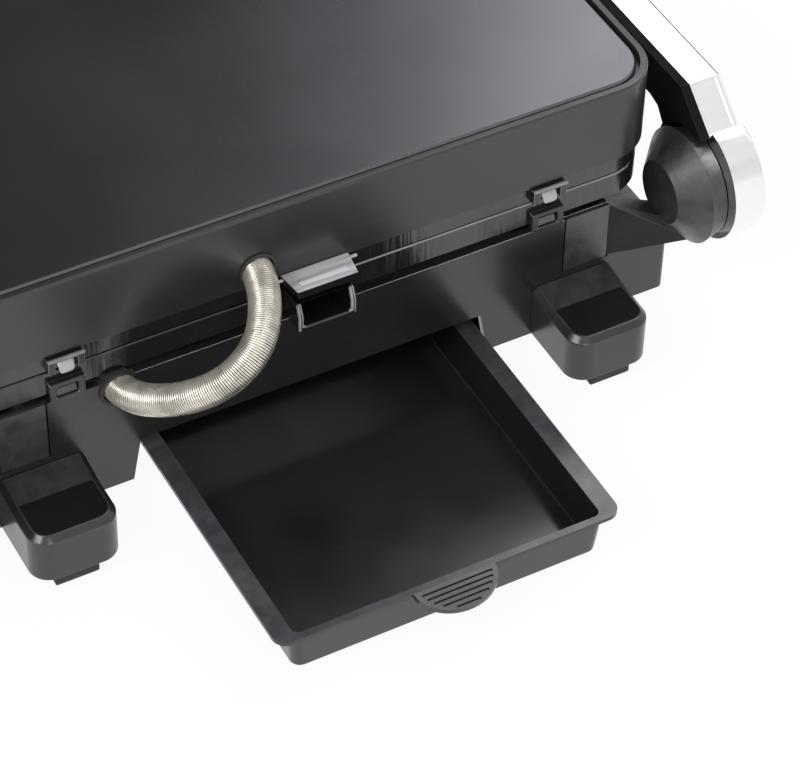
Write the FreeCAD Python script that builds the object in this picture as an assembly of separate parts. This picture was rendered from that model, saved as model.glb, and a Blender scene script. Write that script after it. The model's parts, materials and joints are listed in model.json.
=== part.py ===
import FreeCAD, Part
import math
import os

# A countertop contact grill, closed, with its grease tray pulled out at the back.
# Millimetres, +Z up, +Y to the rear, +X to the left of the grill as seen from behind.
# The origin is the middle of the space that the grill takes up on the table.

os.makedirs("parts", exist_ok=True)
V = FreeCAD.Vector

# Base housing
base_width = 330.0
grill_depth = 262.0
base_wall = 3.0
base_bottom_z = 6.0
base_shoulder_z = 46.0
base_top_z = 63.7
base_front_radius = 20.0
base_rear_radius = 3.0
hub_pocket_x = 134.5
hub_pocket_length = 48.0
hub_pocket_floor_z = 36.0
cover_thickness = 2.0
cover_gap = 0.3
seat_gap = 0.2

# Lid
lid_width = 315.0
lid_bottom_z = 87.0
lid_top_z = 123.0
lid_radius = 22.0
lid_wall = 2.6
lid_rim_width = 3.2
lid_rim_round = 1.2
lid_ceiling = 2.6
panel_gap = 1.4
panel_recess = 3.0
panel_drop = 0.3
panel_bevel = 0.9

# Grill plates
plate_inset = 2.0
plate_skirt = 5.0
plate_floor = 3.0
lower_plate_bottom_z = 66.5
lower_plate_top_z = 77.5
lower_plate_floor_z = 71.0
plate_gap = 1.0
upper_plate_floor_z = 84.0
plate_seat_gap = 0.4
plate_collar = 4.0
upper_collar_top_z = 90.0
collar_gap = 1.5
lead_collar_gap = 1.0
rib_pitch = 11.5
rib_root = 5.4
rib_tip = 3.0
rib_drop = 0.7
rib_margin = 3.0
gutter_width = 12.0

# Drain spouts in the middle of the rear side
spout_half_width = 12.5
spout_wall = 2.2
spout_reach = 12.0
spout_floor_z = 68.6
spout_bottom_z = 66.4
spout_top_z = 79.5
hood_root_half_width = 14.6
hood_tip_half_width = 13.0
hood_bottom_z = 84.6
hood_top_z = 88.0
hood_panel_height = 0.6
hood_panel_margin = 2.4
hood_panel_start = 4.4
hood_notch_half_width = 15.2
hood_notch_length = 17.0

# Plate clips and sockets on the rear side
clip_x = 105.0
clip_width = 15.0
clip_bottom_z = 78.8
clip_top_z = 86.2
clip_proud = 1.4
clip_window_width = 9.4
clip_window_top_z = 84.2
clip_notch_margin = 1.2
clip_notch_top_z = 87.7
tongue_width = 7.4
tongue_proud = 2.4
tongue_drop = 1.0
socket_width = 14.8
socket_top_z = 72.8
socket_window_width = 8.8
socket_window_bottom_z = 65.2
socket_window_top_z = 70.6
socket_proud = 0.8
socket_spring_thickness = 0.8

# Heating
element_diameter = 6.5
element_half_length = 104.0
element_half_spacing = 62.0
element_gap = 0.4
pan_thickness = 1.0
pan_gap = 2.0
pan_clearance = 0.3
shield_thickness = 1.0
shield_notch_margin = 0.4
cutout_diameter = 20.0
cutout_height = 9.0
cutout_x = 60.0

# Hinge hubs
hub_behind_wall = 0.7
hub_z = 61.1
hub_small_radius = 13.7
hub_big_radius = 25.1
hub_end_radius = 23.1
hub_small_x = 158.2
hub_ring_x = 168.4
hub_outer_x = 176.0
insert_inner_x = 114.5
insert_groove = 0.8
insert_thickness = 1.6
insert_bottom_z = 35.4
gusset_tip_x = 171.5
gusset_front = 10.0
gusset_tip_out = 8.2
gusset_tip_top_out = 4.0
gusset_tip_top_z = 42.0
gusset_root_depth = 6.0
hinge_shaft_radius = 6.0
shaft_in_hub = 14.0
shaft_in_arm = 11.7
running_clearance = 0.05
shaft_end_clearance = 0.5

# Arms and grip
arm_side_gap = 0.3
arm_cover_width = 15.2
arm_liner_width = 4.1
arm_top_z = 102.3
arm_bottom_z = 83.0
arm_boss_radius = 27.0
arm_boss_back = 1.5
arm_boss_rise = 3.0
arm_step_y = 33.0
arm_bend_y = 12.0
arm_slope_end_y = 6.0
arm_slope_end_z = 87.2
arm_riser_run = 2.0
arm_riser_height = 4.3
arm_edge_round = 2.2
liner_ring_clearance = 0.6
liner_rear_limit = 6.0
grip_setback = 302.0
grip_radius = 13.0
grip_bar_radius = 7.5
collar_length = 23.9
collar_radius = 11.5
cap_radius = 17.0
cap_recess = 1.0
cap_thickness = 1.5
fixed_fit = 0.03

# Lid pivots
pivot_from_wall = 125.0
pivot_radius = 4.0
pivot_boss_radius = 9.0
pivot_side_gap = 0.6
pivot_in_arm = 8.0

# Rear feet and rubber pads
foot_inner_x = 100.0
foot_outer_x = 137.0
foot_reach = 36.0
foot_bottom_z = 7.5
foot_top_z = 30.0
foot_back_z = 32.2
foot_slope_length = 14.0
foot_radius = 9.0
foot_chamfer = 2.6
pad_inner_x = 110.0
pad_width = 18.5
pad_setback = 2.8
pad_length = 19.0
front_foot_radius = 9.0
front_foot_inset = 26.0

# Tray slot and grease tray
slot_top_half_width = 76.0
slot_top_z = 27.0
slot_bottom_half_width = 79.8
tray_length = 150.0
tray_out = 116.0
tray_rim_half_width = 74.4
tray_rim_z = 21.5
tray_rim_thickness = 1.8
tray_side_rim = 8.0
tray_end_rim = 3.0
tray_wall = 1.6
tray_draft = 1.7
tray_bottom_z = 1.0
tray_rim_radius = 6.0
tray_bottom_round = 1.6
tray_inner_round = 1.0
tab_half_width = 17.5
tab_reach = 13.7
tab_thickness = 2.4
tab_tilt = 8.0
tab_grooves = 5
tab_groove_pitch = 2.4
tab_groove_width = 1.1
tab_groove_depth = 0.7
runner_clearance = 1.0
runner_lift = 0.3
runner_wall = 2.0
runner_foot = 8.6
runner_length = 107.0
runner_setback = 18.0
cover_cutout_margin = 1.0

# Sheathed lead between the lid and the base
lead_diameter = 13.0
lead_lid_x = 24.0
lead_lid_z = 95.1
lead_base_x = 84.4
lead_base_z = 58.5
lead_inside = 8.0
lead_span_points = [(0.0, 5.9), (0.193, 28.9), (0.482, 34.2), (0.775, 24.5), (1.0, 5.6)]
arc_share = 0.45
grommet_wall = 0.9
grommet_lip = 0.8
grommet_flange = 0.5

# Controls on the front wall
fascia_half_width = 120.0
fascia_bottom_z = 10.0
fascia_top_z = 46.0
fascia_thickness = 2.5
fascia_radius = 6.0
knob_x = 62.0
knob_z = 28.0
knob_radius = 16.5
knob_thickness = 13.0
knob_gap = 0.6
knob_ridge_width = 5.0
knob_ridge_height = 5.0
knob_shaft_radius = 3.0
knob_shaft_in_control = 12.0
knob_hole_clearance = 1.0
pointer_length = 9.0
pointer_width = 1.6
pointer_depth = 0.6
control_radius = 15.0
control_depth = 20.0
lamp_x = 9.0
lamp_z = 33.0
lamp_radius = 3.0
lamp_proud = 1.0
lamp_clearance = 0.1
button_width = 23.2
button_height = 8.2
button_gap = 0.4
button_proud = 2.6
button_tail = 9.0
lower_button_z = 54.0

# Mains inlet and fasteners
gland_from_wall = 80.0
gland_z = 20.0
gland_body_radius = 7.0
gland_flange_radius = 9.5
gland_flange = 2.0
gland_nose = 11.0
gland_nose_radius = 4.8
gland_bore_radius = 3.2
screw_shank_radius = 1.6
screw_head_radius = 3.4
screw_head_height = 1.8
screw_hole_clearance = 0.05
screw_length = 14.0
screw_post_radius = 4.5
screw_post_inset = 18.0
arm_screw_ys = (62.0, 216.0)
vent_count = 9
vent_pitch = 20.0
vent_width = 4.0
vent_length = 62.0
vent_front_inset = 26.0
block_size = (30.0, 16.0, 13.0)
block_x = -130.0
block_from_wall = 165.0
shelf_size = 13.0
shelf_height = 4.0

# Positions that follow from the sizes above.
# The rear wall's plane is placed so that the origin is midway between the grip and the tray's tab.
tray_tab_end = tray_out + tab_reach * math.cos(math.radians(tab_tilt))
grip_front = grip_setback + grip_radius
wall_y = (grip_front - tray_tab_end) / 2.0
front_y = wall_y - grill_depth
base_half = base_width / 2.0
lid_half = lid_width / 2.0
hub_y = wall_y + hub_behind_wall
pivot_y = wall_y - pivot_from_wall
grip_y = wall_y - grip_setback
arm_z = (arm_top_z + arm_bottom_z) / 2.0
arm_in_x = hub_outer_x + arm_side_gap
arm_out_x = arm_in_x + arm_cover_width
liner_in_x = arm_in_x - arm_liner_width
grip_half_length = liner_in_x - cover_gap - collar_length
plate_half = lid_half - plate_inset
plate_rear_y = wall_y - plate_inset
plate_front_y = front_y + plate_inset
plate_radius = lid_radius - plate_inset
upper_plate_bottom_z = lower_plate_top_z + plate_gap
tray_rear_y = wall_y + tray_out
tray_front_y = tray_rear_y - tray_length
lead_radius = lead_diameter / 2.0
element_radius = element_diameter / 2.0
cover_top_z = base_bottom_z + cover_thickness
pocket_wall_x = hub_pocket_x - base_wall
pocket_front_y = wall_y - hub_pocket_length


def box(x0, x1, y0, y1, z0, z1):
    return Part.makeBox(x1 - x0, y1 - y0, z1 - z0, V(x0, y0, z0))


def rod(start, direction, radius, length):
    return Part.makeCylinder(radius, length, V(*start), V(*direction))


def rounded_wire(half_x, y0, y1, z, front_radius, rear_radius=None):
    """A closed rectangle about the middle plane with round corners, at height z."""
    if rear_radius is None:
        rear_radius = front_radius
    corners = [(-half_x, y0, front_radius, 180), (half_x, y0, front_radius, 270)]
    corners += [(half_x, y1, rear_radius, 0), (-half_x, y1, rear_radius, 90)]
    ends = []
    arcs = []
    for x, y, radius, start in corners:
        cx = x - math.copysign(radius, x)
        cy = y + radius if y == y0 else y - radius
        points = []
        for turn in (0, 45, 90):
            angle = math.radians(start + turn)
            points.append(V(cx + radius * math.cos(angle), cy + radius * math.sin(angle), z))
        arcs.append(Part.Arc(*points).toShape())
        ends.append((points[0], points[2]))
    edges = []
    for index in range(4):
        edges.append(arcs[index])
        edges.append(Part.makeLine(ends[index][1], ends[(index + 1) % 4][0]))
    return Part.Wire(edges)


def rounded_block(half_x, y0, y1, z0, z1, front_radius, rear_radius=None):
    """A block about the middle plane with round upright corners."""
    wire = rounded_wire(half_x, y0, y1, z0, front_radius, rear_radius)
    return Part.Face(wire).extrude(V(0, 0, z1 - z0))


def prism(points, travel):
    """A straight prism on a closed polygon of 3-D points."""
    corners = [V(*point) for point in points]
    return Part.Face(Part.makePolygon(corners + [corners[0]])).extrude(V(*travel))


def prism_yz(points, x0, x1):
    return prism([(x0, y, z) for y, z in points], (x1 - x0, 0, 0))


def prism_xz(points, y0, y1):
    return prism([(x, y0, z) for x, z in points], (0, y1 - y0, 0))


def prism_xy(points, z0, z1):
    return prism([(x, y, z0) for x, y in points], (0, 0, z1 - z0))


def mirrored(shape):
    return shape.mirror(V(0, 0, 0), V(1, 0, 0))


def both(shape):
    return [shape, mirrored(shape)]


def joined(first, *others):
    result = first
    for other in others:
        result = result.fuse(other)
    return result.removeSplitter()


def edges_at(shape, test):
    """The edges whose every vertex passes the test."""
    found = []
    for edge in shape.Edges:
        if all(test(vertex.Point) for vertex in edge.Vertexes):
            found.append(edge)
    return found


def near(value, target, tolerance=0.01):
    return abs(value - target) < tolerance


def save(node, shapes):
    """Writes one solid, or a group of separate solids, as one STEP file."""
    if not isinstance(shapes, list):
        shapes = [shapes]
    solids = []
    for shape in shapes:
        solids += shape.Solids
    for solid in solids:
        if not solid.isValid() or solid.Volume <= 0:
            raise ValueError(node + " is not a sound solid")
    out = solids[0] if len(solids) == 1 else Part.makeCompound(solids)
    out.exportStep("parts/" + node + ".step")
    print(node, len(solids), round(sum(solid.Volume for solid in solids) / 1000.0, 2), "cm3")


def screw(start, direction):
    """A pan head screw; start is under the head and direction points along the shank."""
    back = tuple(-part * screw_head_height for part in direction)
    head_at = tuple(a + b for a, b in zip(start, back))
    head = rod(head_at, direction, screw_head_radius, screw_head_height)
    shank = rod(start, direction, screw_shank_radius, screw_length)
    return joined(head, shank)


# Base housing: a tub with a wider foot, pockets at the rear corners for the hubs, and the tray's slot
def base_shape(grow, bottom, top):
    """The outside of the base, or with a negative grow the hollow inside its walls."""
    front_radius = base_front_radius + grow
    rear_radius = max(base_rear_radius + grow, 0.5)
    low = rounded_block(base_half + grow, front_y - grow, wall_y + grow, bottom, base_shoulder_z + grow,
                        front_radius, rear_radius)
    high = rounded_block(lid_half + grow, front_y - grow, wall_y + grow, bottom, top,
                         front_radius, rear_radius)
    shape = joined(low, high)
    far = base_width
    for side in (-1, 1):
        edge = (hub_pocket_x + grow) * side
        x0, x1 = sorted((edge, far * side))
        pocket = box(x0, x1, pocket_front_y + grow, wall_y + far, hub_pocket_floor_z + grow, top + far)
        shape = shape.cut(pocket)
    return shape


base = base_shape(0.0, base_bottom_z, base_top_z)
base = base.cut(base_shape(-base_wall, base_bottom_z - 1.0, base_top_z + 1.0))
slot_slope = (slot_bottom_half_width - slot_top_half_width) / (slot_top_z - base_bottom_z)
slot_foot = slot_bottom_half_width + slot_slope
slot = prism_xz([(-slot_foot, base_bottom_z - 1.0), (slot_foot, base_bottom_z - 1.0),
                 (slot_top_half_width, slot_top_z), (-slot_top_half_width, slot_top_z)],
                wall_y - base_wall - 1.0, wall_y + 1.0)
base = base.cut(slot)

insert_pocket = box(insert_inner_x - insert_groove, hub_pocket_x + 1.0,
                    wall_y - insert_thickness - seat_gap, wall_y + 1.0,
                    insert_bottom_z - insert_groove / 2.0, base_top_z + 1.0)
for shape in both(insert_pocket):
    base = base.cut(shape)

# Notch in the wall's top edge for the lead and its grommet
grommet_radius = lead_radius + grommet_wall
notch = rod((lead_base_x, wall_y - base_wall - 1.0, lead_base_z), (0, 1, 0), grommet_radius, base_wall + 2.0)
notch = notch.fuse(box(lead_base_x - grommet_radius, lead_base_x + grommet_radius,
                       wall_y - base_wall - 1.0, wall_y + 1.0, lead_base_z, base_top_z + 1.0))
base = base.cut(notch)

# Holes for the knob shafts, the lamps, the button and the cord gland
front_inner_y = front_y + base_wall
for side in (-1, 1):
    base = base.cut(rod((knob_x * side, front_y - 1.0, knob_z), (0, 1, 0),
                        knob_shaft_radius + knob_hole_clearance, base_wall + 2.0))
    base = base.cut(rod((lamp_x * side, front_y - 1.0, lamp_z), (0, 1, 0),
                        lamp_radius + lamp_clearance, base_wall + 2.0))
button_half = button_width / 2.0 + button_gap
button_half_z = button_height / 2.0 + button_gap
base = base.cut(box(-button_half, button_half, front_y - 1.0, front_inner_y + 1.0,
                    lower_button_z - button_half_z, lower_button_z + button_half_z))
gland_y = wall_y - gland_from_wall
base = base.cut(rod((base_half - base_wall - 1.0, gland_y, gland_z), (1, 0, 0),
                    gland_body_radius + fixed_fit, base_wall + 2.0))

# Posts for the cover's screws, and shelves that carry the lower pan
post_x = base_half - base_wall - screw_post_radius + 1.0
post_ys = (front_y + base_front_radius + screw_post_inset, wall_y - screw_post_inset)
post_top_z = hub_pocket_floor_z - base_wall + 1.0
for post_y in post_ys:
    post = rod((post_x, post_y, cover_top_z + seat_gap), (0, 0, 1), screw_post_radius,
               post_top_z - cover_top_z - seat_gap)
    pilot = rod((post_x, post_y, cover_top_z), (0, 0, 1), screw_shank_radius + screw_hole_clearance,
                screw_length)
    for shape in both(post):
        base = base.fuse(shape)
    for shape in both(pilot):
        base = base.cut(shape)

lower_element_z = lower_plate_floor_z - plate_floor - element_gap - element_radius
lower_pan_z = lower_element_z - element_radius - pan_clearance
shield_top_z = lower_pan_z - pan_thickness
shelf_top_z = shield_top_z - shield_thickness
shelf = box(pocket_wall_x - shelf_size, pocket_wall_x + 1.0, wall_y - base_wall - shelf_size,
            wall_y - base_wall + 1.0, shelf_top_z - shelf_height, shelf_top_z)
front_shelf = box(pocket_wall_x - shelf_size, pocket_wall_x, front_inner_y - 1.0,
                  front_inner_y + shelf_size, shelf_top_z - shelf_height, shelf_top_z)
for shape in both(shelf) + both(front_shelf):
    base = base.fuse(shape)
base = base.removeSplitter()
save("base_housing", base)

# Heat shield: a sheet on the shelves that closes the base under the heater and carries the lower plate
shield = base_shape(-base_wall - cover_gap, base_bottom_z, base_top_z)
shield = shield.common(box(-base_half, base_half, front_y, wall_y, shelf_top_z, shield_top_z))
shield_notch_half = lead_radius + shield_notch_margin
shield = shield.cut(box(lead_base_x - shield_notch_half, lead_base_x + shield_notch_half,
                        wall_y - lead_inside - seat_gap, wall_y, shelf_top_z - 1.0, shield_top_z + 1.0))
save("base_heat_shield", shield)

# Bottom cover with vents and a cut-out for the tray
cover_inset = base_wall + cover_gap
runner_front_y = wall_y - runner_setback - runner_length
cover = rounded_block(base_half - cover_inset, front_y + cover_inset, wall_y - cover_inset,
                      base_bottom_z, cover_top_z, base_front_radius - cover_inset, 1.0)
cutout_half = slot_bottom_half_width + cover_cutout_margin
cover = cover.cut(box(-cutout_half, cutout_half, runner_front_y, wall_y, base_bottom_z - 1.0, cover_top_z + 1.0))
vent_y = front_y + vent_front_inset
for index in range(vent_count):
    vent_x = (index - (vent_count - 1) / 2.0) * vent_pitch
    cover = cover.cut(box(vent_x - vent_width / 2.0, vent_x + vent_width / 2.0, vent_y,
                          vent_y + vent_length, base_bottom_z - 1.0, cover_top_z + 1.0))
for post_y in post_ys:
    for side in (-1, 1):
        cover = cover.cut(rod((post_x * side, post_y, base_bottom_z - 1.0), (0, 0, 1),
                              screw_shank_radius + 4.0 * screw_hole_clearance, cover_thickness + 2.0))
save("base_bottom_cover", cover)
cover_screws = []
for post_y in post_ys:
    for side in (-1, 1):
        cover_screws.append(screw((post_x * side, post_y, base_bottom_z), (0, 0, 1)))
save("cover_screws", cover_screws)

# Hinge hub: the flush corner insert, the gusset that leads out and the cone, in one moulding
insert_rear = wall_y
insert = box(insert_inner_x, hub_pocket_x, wall_y - insert_thickness, insert_rear,
             insert_bottom_z, base_top_z - seat_gap)
gusset_floor_z = hub_pocket_floor_z + seat_gap
gusset_points = [
    V(hub_pocket_x, wall_y, gusset_floor_z),
    V(hub_pocket_x, wall_y, base_top_z - seat_gap),
    V(hub_pocket_x, wall_y - gusset_root_depth, base_top_z - seat_gap),
    V(hub_pocket_x, wall_y - gusset_root_depth, gusset_floor_z),
    V(gusset_tip_x, wall_y + gusset_tip_out, gusset_floor_z),
    V(gusset_tip_x, wall_y + gusset_tip_top_out, gusset_tip_top_z),
    V(gusset_tip_x, wall_y - gusset_front, gusset_tip_top_z),
    V(gusset_tip_x, wall_y - gusset_front, gusset_floor_z),
]
gusset_faces = [(0, 3, 2, 1), (4, 5, 6, 7), (0, 1, 4), (1, 5, 4), (1, 2, 5), (2, 6, 5),
                (2, 3, 6), (3, 7, 6), (3, 0, 7), (0, 4, 7)]
faces = []
for loop in gusset_faces:
    corners = [gusset_points[index] for index in loop]
    faces.append(Part.Face(Part.makePolygon(corners + [corners[0]])))
gusset = Part.makeSolid(Part.makeShell(faces))
if gusset.Volume < 0:
    gusset.reverse()
cone_length = hub_ring_x - hub_small_x
cone = Part.makeCone(hub_small_radius, hub_big_radius, cone_length, V(hub_small_x, hub_y, hub_z), V(1, 0, 0))
ring = Part.makeCone(hub_big_radius, hub_end_radius, hub_outer_x - hub_ring_x, V(hub_ring_x, hub_y, hub_z),
                     V(1, 0, 0))
hub = joined(insert, gusset, cone, ring)
shaft_start_x = hub_outer_x - shaft_in_hub
hub = hub.cut(rod((shaft_start_x, hub_y, hub_z), (1, 0, 0), hinge_shaft_radius + fixed_fit,
                  shaft_in_hub + 1.0))
save("hinge_hub_left", hub)
save("hinge_hub_right", mirrored(hub))
shaft = rod((shaft_start_x, hub_y, hub_z), (1, 0, 0), hinge_shaft_radius,
            shaft_in_hub + arm_side_gap + shaft_in_arm)
save("hinge_shafts", both(shaft))

# Rear feet: blocks with a chamfered top edge, a sloped back half and a rubber pad
foot_half = (foot_outer_x - foot_inner_x) / 2.0
foot = rounded_block(foot_half, wall_y - foot_radius, wall_y + foot_reach, foot_bottom_z, foot_back_z + 1.0,
                     0.5, foot_radius)
crease_y = wall_y + foot_slope_length
foot = foot.common(prism_yz([(wall_y, foot_bottom_z), (wall_y + foot_reach, foot_bottom_z),
                             (wall_y + foot_reach, foot_top_z), (crease_y, foot_top_z),
                             (wall_y, foot_back_z)], -foot_half, foot_half))
top_edges = []
for edge in edges_at(foot, lambda p: p.z > foot_top_z - 0.01):
    bounds = edge.BoundBox
    if bounds.YLength > 0.01 or near(bounds.YMin, wall_y + foot_reach):
        top_edges.append(edge)
foot = foot.makeChamfer(foot_chamfer, top_edges)
foot.translate(V((foot_outer_x + foot_inner_x) / 2.0, 0, 0))
save("rear_foot_left", foot)
save("rear_foot_right", mirrored(foot))
pad_rear_y = wall_y + foot_reach - pad_setback
pad = box(pad_inner_x, pad_inner_x + pad_width, pad_rear_y - pad_length, pad_rear_y, 0.0, foot_bottom_z)
pad = pad.makeFillet(1.5, edges_at(pad, lambda p: near(p.z, 0.0)))
save("rear_pads", both(pad))
front_foot = rod((base_half - front_foot_inset, front_y + front_foot_inset, 0.0), (0, 0, 1),
                 front_foot_radius, base_bottom_z)
front_foot = front_foot.makeChamfer(1.2, edges_at(front_foot, lambda p: near(p.z, 0.0)))
save("front_feet", both(front_foot))

# Runners: a channel at each side in which the tray's rim slides
rim_under_z = tray_rim_z - tray_rim_thickness
runner_in_x = tray_rim_half_width - tray_side_rim + tray_wall + runner_clearance + 0.2
runner_web_x = tray_rim_half_width + runner_clearance
runner_top_z = tray_rim_z + runner_lift + 0.5
runner_points = [
    (runner_in_x, rim_under_z - runner_lift - runner_wall), (runner_in_x, rim_under_z - runner_lift),
    (runner_web_x, rim_under_z - runner_lift), (runner_web_x, runner_top_z), (runner_in_x + 1.0, runner_top_z),
    (runner_in_x + 1.0, runner_top_z + runner_wall), (runner_web_x + runner_wall, runner_top_z + runner_wall),
    (runner_web_x + runner_wall, cover_top_z + seat_gap + runner_wall),
    (runner_web_x + runner_wall + runner_foot, cover_top_z + seat_gap + runner_wall),
    (runner_web_x + runner_wall + runner_foot, cover_top_z + seat_gap),
    (runner_web_x, cover_top_z + seat_gap), (runner_web_x, rim_under_z - runner_lift - runner_wall),
]
runner = prism_xz(runner_points, runner_front_y, runner_front_y + runner_length)
save("tray_runners", both(runner))

# Lower plate: skirt, floor, ribs, a gutter along the rear and a notch to the spout
lower_plate = rounded_block(plate_half, plate_front_y, plate_rear_y, lower_plate_bottom_z,
                            lower_plate_top_z, plate_radius)
lower_plate = lower_plate.makeFillet(0.8, edges_at(lower_plate, lambda p: near(p.z, lower_plate_top_z)))
pocket_inset = plate_inset + plate_skirt
pocket_radius = plate_radius - plate_skirt
lower_plate = lower_plate.cut(rounded_block(lid_half - pocket_inset, front_y + pocket_inset,
                                            wall_y - pocket_inset, lower_plate_floor_z,
                                            lower_plate_top_z + 1.0, pocket_radius))
lower_plate = lower_plate.cut(rounded_block(lid_half - pocket_inset, front_y + pocket_inset,
                                            wall_y - pocket_inset, lower_plate_bottom_z - 1.0,
                                            lower_plate_floor_z - plate_floor, pocket_radius))
lower_collar_bottom_z = shield_top_z
collar_half = pocket_wall_x - collar_gap
collar_front_y = front_y + lead_inside + seat_gap
collar_rear_y = wall_y - lead_inside - seat_gap


def collar_ring(z0, z1, half, front, rear, radius):
    outer = rounded_block(half, front, rear, z0, z1, radius)
    inner = rounded_block(half - plate_collar, front + plate_collar, rear - plate_collar,
                          z0 - 1.0, z1 + 1.0, radius - plate_collar)
    return outer.cut(inner)


lower_collar = collar_ring(lower_collar_bottom_z, lower_plate_floor_z - plate_floor / 2.0,
                           collar_half, collar_front_y, collar_rear_y, 10.0)


def rib_field(root_z, tip_z):
    """Ribs that run from front to rear, trimmed to the round corners of the plate's pocket."""
    first = -int((lid_half - pocket_inset) / rib_pitch)
    ribs = []
    for index in range(first, -first + 1):
        x = index * rib_pitch
        points = [(x - rib_root / 2.0, root_z), (x - rib_tip / 2.0, tip_z),
                  (x + rib_tip / 2.0, tip_z), (x + rib_root / 2.0, root_z)]
        ribs.append(prism_xz(points, front_y, wall_y - pocket_inset - gutter_width))
    low, high = sorted((root_z, tip_z))
    field = rounded_block(lid_half - pocket_inset - rib_margin, front_y + pocket_inset + rib_margin,
                          wall_y - pocket_inset, low - 1.0, high + 1.0, pocket_radius - rib_margin)
    return [rib.common(field) for rib in ribs]


lower_ribs = rib_field(lower_plate_floor_z - 0.2, lower_plate_top_z - rib_drop)
lower_plate = lower_plate.fuse([lower_collar] + [rib for rib in lower_ribs if rib.Volume > 1.0])
drain_half = spout_half_width - spout_wall
lower_plate = lower_plate.cut(box(-drain_half, drain_half, wall_y - pocket_inset - 1.0, wall_y,
                                  lower_plate_floor_z - 1.0, lower_plate_top_z + 1.0))
save("lower_plate", lower_plate.removeSplitter())

# Lower spout: a channel that carries the grease from the plate over the tray
spout = box(-spout_half_width, spout_half_width, plate_rear_y, wall_y + spout_reach,
            spout_bottom_z, spout_top_z)
spout = spout.cut(box(-drain_half, drain_half, plate_rear_y - 1.0, wall_y + spout_reach + 1.0,
                      spout_floor_z, spout_top_z + 1.0))
spout = spout.cut(prism_yz([(wall_y + spout_reach - 2.5, spout_top_z + 0.1),
                            (wall_y + spout_reach + 0.1, spout_top_z + 0.1),
                            (wall_y + spout_reach + 0.1, spout_top_z - 6.0)],
                           -spout_half_width - 1.0, spout_half_width + 1.0))
save("lower_spout", spout)

# Upper plate: the same skirt and ribs, facing down, with a notch over the spout
upper_flange_top_z = lid_bottom_z - plate_seat_gap
upper_plate = rounded_block(plate_half, plate_front_y, plate_rear_y, upper_plate_bottom_z,
                            upper_flange_top_z, plate_radius)
upper_inset = lid_wall + plate_seat_gap + 0.2
upper_slab = rounded_block(lid_half - upper_inset, front_y + upper_inset, wall_y - upper_inset,
                           upper_plate_floor_z, upper_plate_floor_z + plate_floor,
                           lid_radius - upper_inset)
upper_collar = collar_ring(upper_plate_floor_z + plate_floor / 2.0, upper_collar_top_z,
                           lid_half - upper_inset, front_y + upper_inset, wall_y - upper_inset,
                           lid_radius - upper_inset)
upper_plate = joined(upper_plate, upper_slab)
upper_plate = upper_plate.cut(rounded_block(lid_half - pocket_inset, front_y + pocket_inset,
                                            wall_y - pocket_inset, upper_plate_bottom_z - 1.0,
                                            upper_plate_floor_z, pocket_radius))
upper_ribs = rib_field(upper_plate_floor_z + 0.2, upper_plate_bottom_z + rib_drop)
upper_plate = upper_plate.fuse([upper_collar] + [rib for rib in upper_ribs if rib.Volume > 1.0])
upper_plate = upper_plate.cut(box(-hood_notch_half_width, hood_notch_half_width,
                                  wall_y - hood_notch_length, wall_y,
                                  upper_plate_bottom_z - 1.0, upper_plate_floor_z))
upper_plate = upper_plate.cut(rod((lead_lid_x, wall_y - hood_notch_length, lead_lid_z), (0, 1, 0),
                                  lead_radius + lead_collar_gap, hood_notch_length))
save("upper_plate", upper_plate.removeSplitter())

# Upper spout hood: it comes out under the lid's wall and covers the lower spout
hood = prism_yz([(plate_rear_y, hood_bottom_z), (wall_y + spout_reach, hood_bottom_z),
                 (wall_y + spout_reach, hood_top_z), (wall_y + 0.3, hood_top_z),
                 (wall_y + 0.3, upper_flange_top_z), (plate_rear_y, upper_flange_top_z)],
                -hood_root_half_width, hood_root_half_width)
hood_plan = prism_xy([(-hood_root_half_width, wall_y), (-hood_tip_half_width, wall_y + spout_reach),
                      (hood_tip_half_width, wall_y + spout_reach), (hood_root_half_width, wall_y),
                      (hood_root_half_width, plate_rear_y), (-hood_root_half_width, plate_rear_y)],
                     hood_bottom_z - 1.0, hood_top_z + 1.0)
hood = hood.common(hood_plan)
hood_panel = prism_yz([(wall_y + hood_panel_start, hood_top_z - 0.3),
                       (wall_y + spout_reach - 0.2, hood_top_z - 0.3),
                       (wall_y + spout_reach - 0.2, hood_top_z + hood_panel_height),
                       (wall_y + hood_panel_start + 1.0, hood_top_z + hood_panel_height)],
                      -hood_tip_half_width + hood_panel_margin, hood_tip_half_width - hood_panel_margin)
hood_pin = rod((-hood_root_half_width - 3.2, wall_y + 1.4, hood_bottom_z + 1.4), (1, 0, 0), 0.9,
               2.0 * (hood_root_half_width + 3.2))
hood = joined(hood, hood_panel, hood_pin)
save("upper_spout_hood", hood)

# Clips of the upper plate, each a bracket with a sprung steel tongue in its window
clip = box(clip_x - clip_width / 2.0, clip_x + clip_width / 2.0, plate_rear_y, wall_y + clip_proud,
           clip_bottom_z, clip_top_z - 0.8)
clip = clip.fuse(box(clip_x - clip_width / 2.0, clip_x + clip_width / 2.0, wall_y + 0.3,
                     wall_y + clip_proud, clip_bottom_z, clip_top_z))
clip_window = box(clip_x - clip_window_width / 2.0, clip_x + clip_window_width / 2.0,
                  plate_rear_y - 1.0, wall_y + clip_proud + 1.0, clip_bottom_z - 1.0, clip_window_top_z)
clip = clip.cut(clip_window).removeSplitter()
save("upper_clips", both(clip))
tongue_tip_z = clip_bottom_z - tongue_drop
tongue = prism_yz([(plate_rear_y, clip_bottom_z), (wall_y + tongue_proud, tongue_tip_z),
                   (wall_y + tongue_proud, tongue_tip_z + 1.2),
                   (wall_y + 0.4, clip_window_top_z - 0.2), (plate_rear_y, clip_window_top_z - 0.2)],
                  clip_x - tongue_width / 2.0, clip_x + tongue_width / 2.0)
save("upper_clip_tongues", both(tongue))

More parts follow.
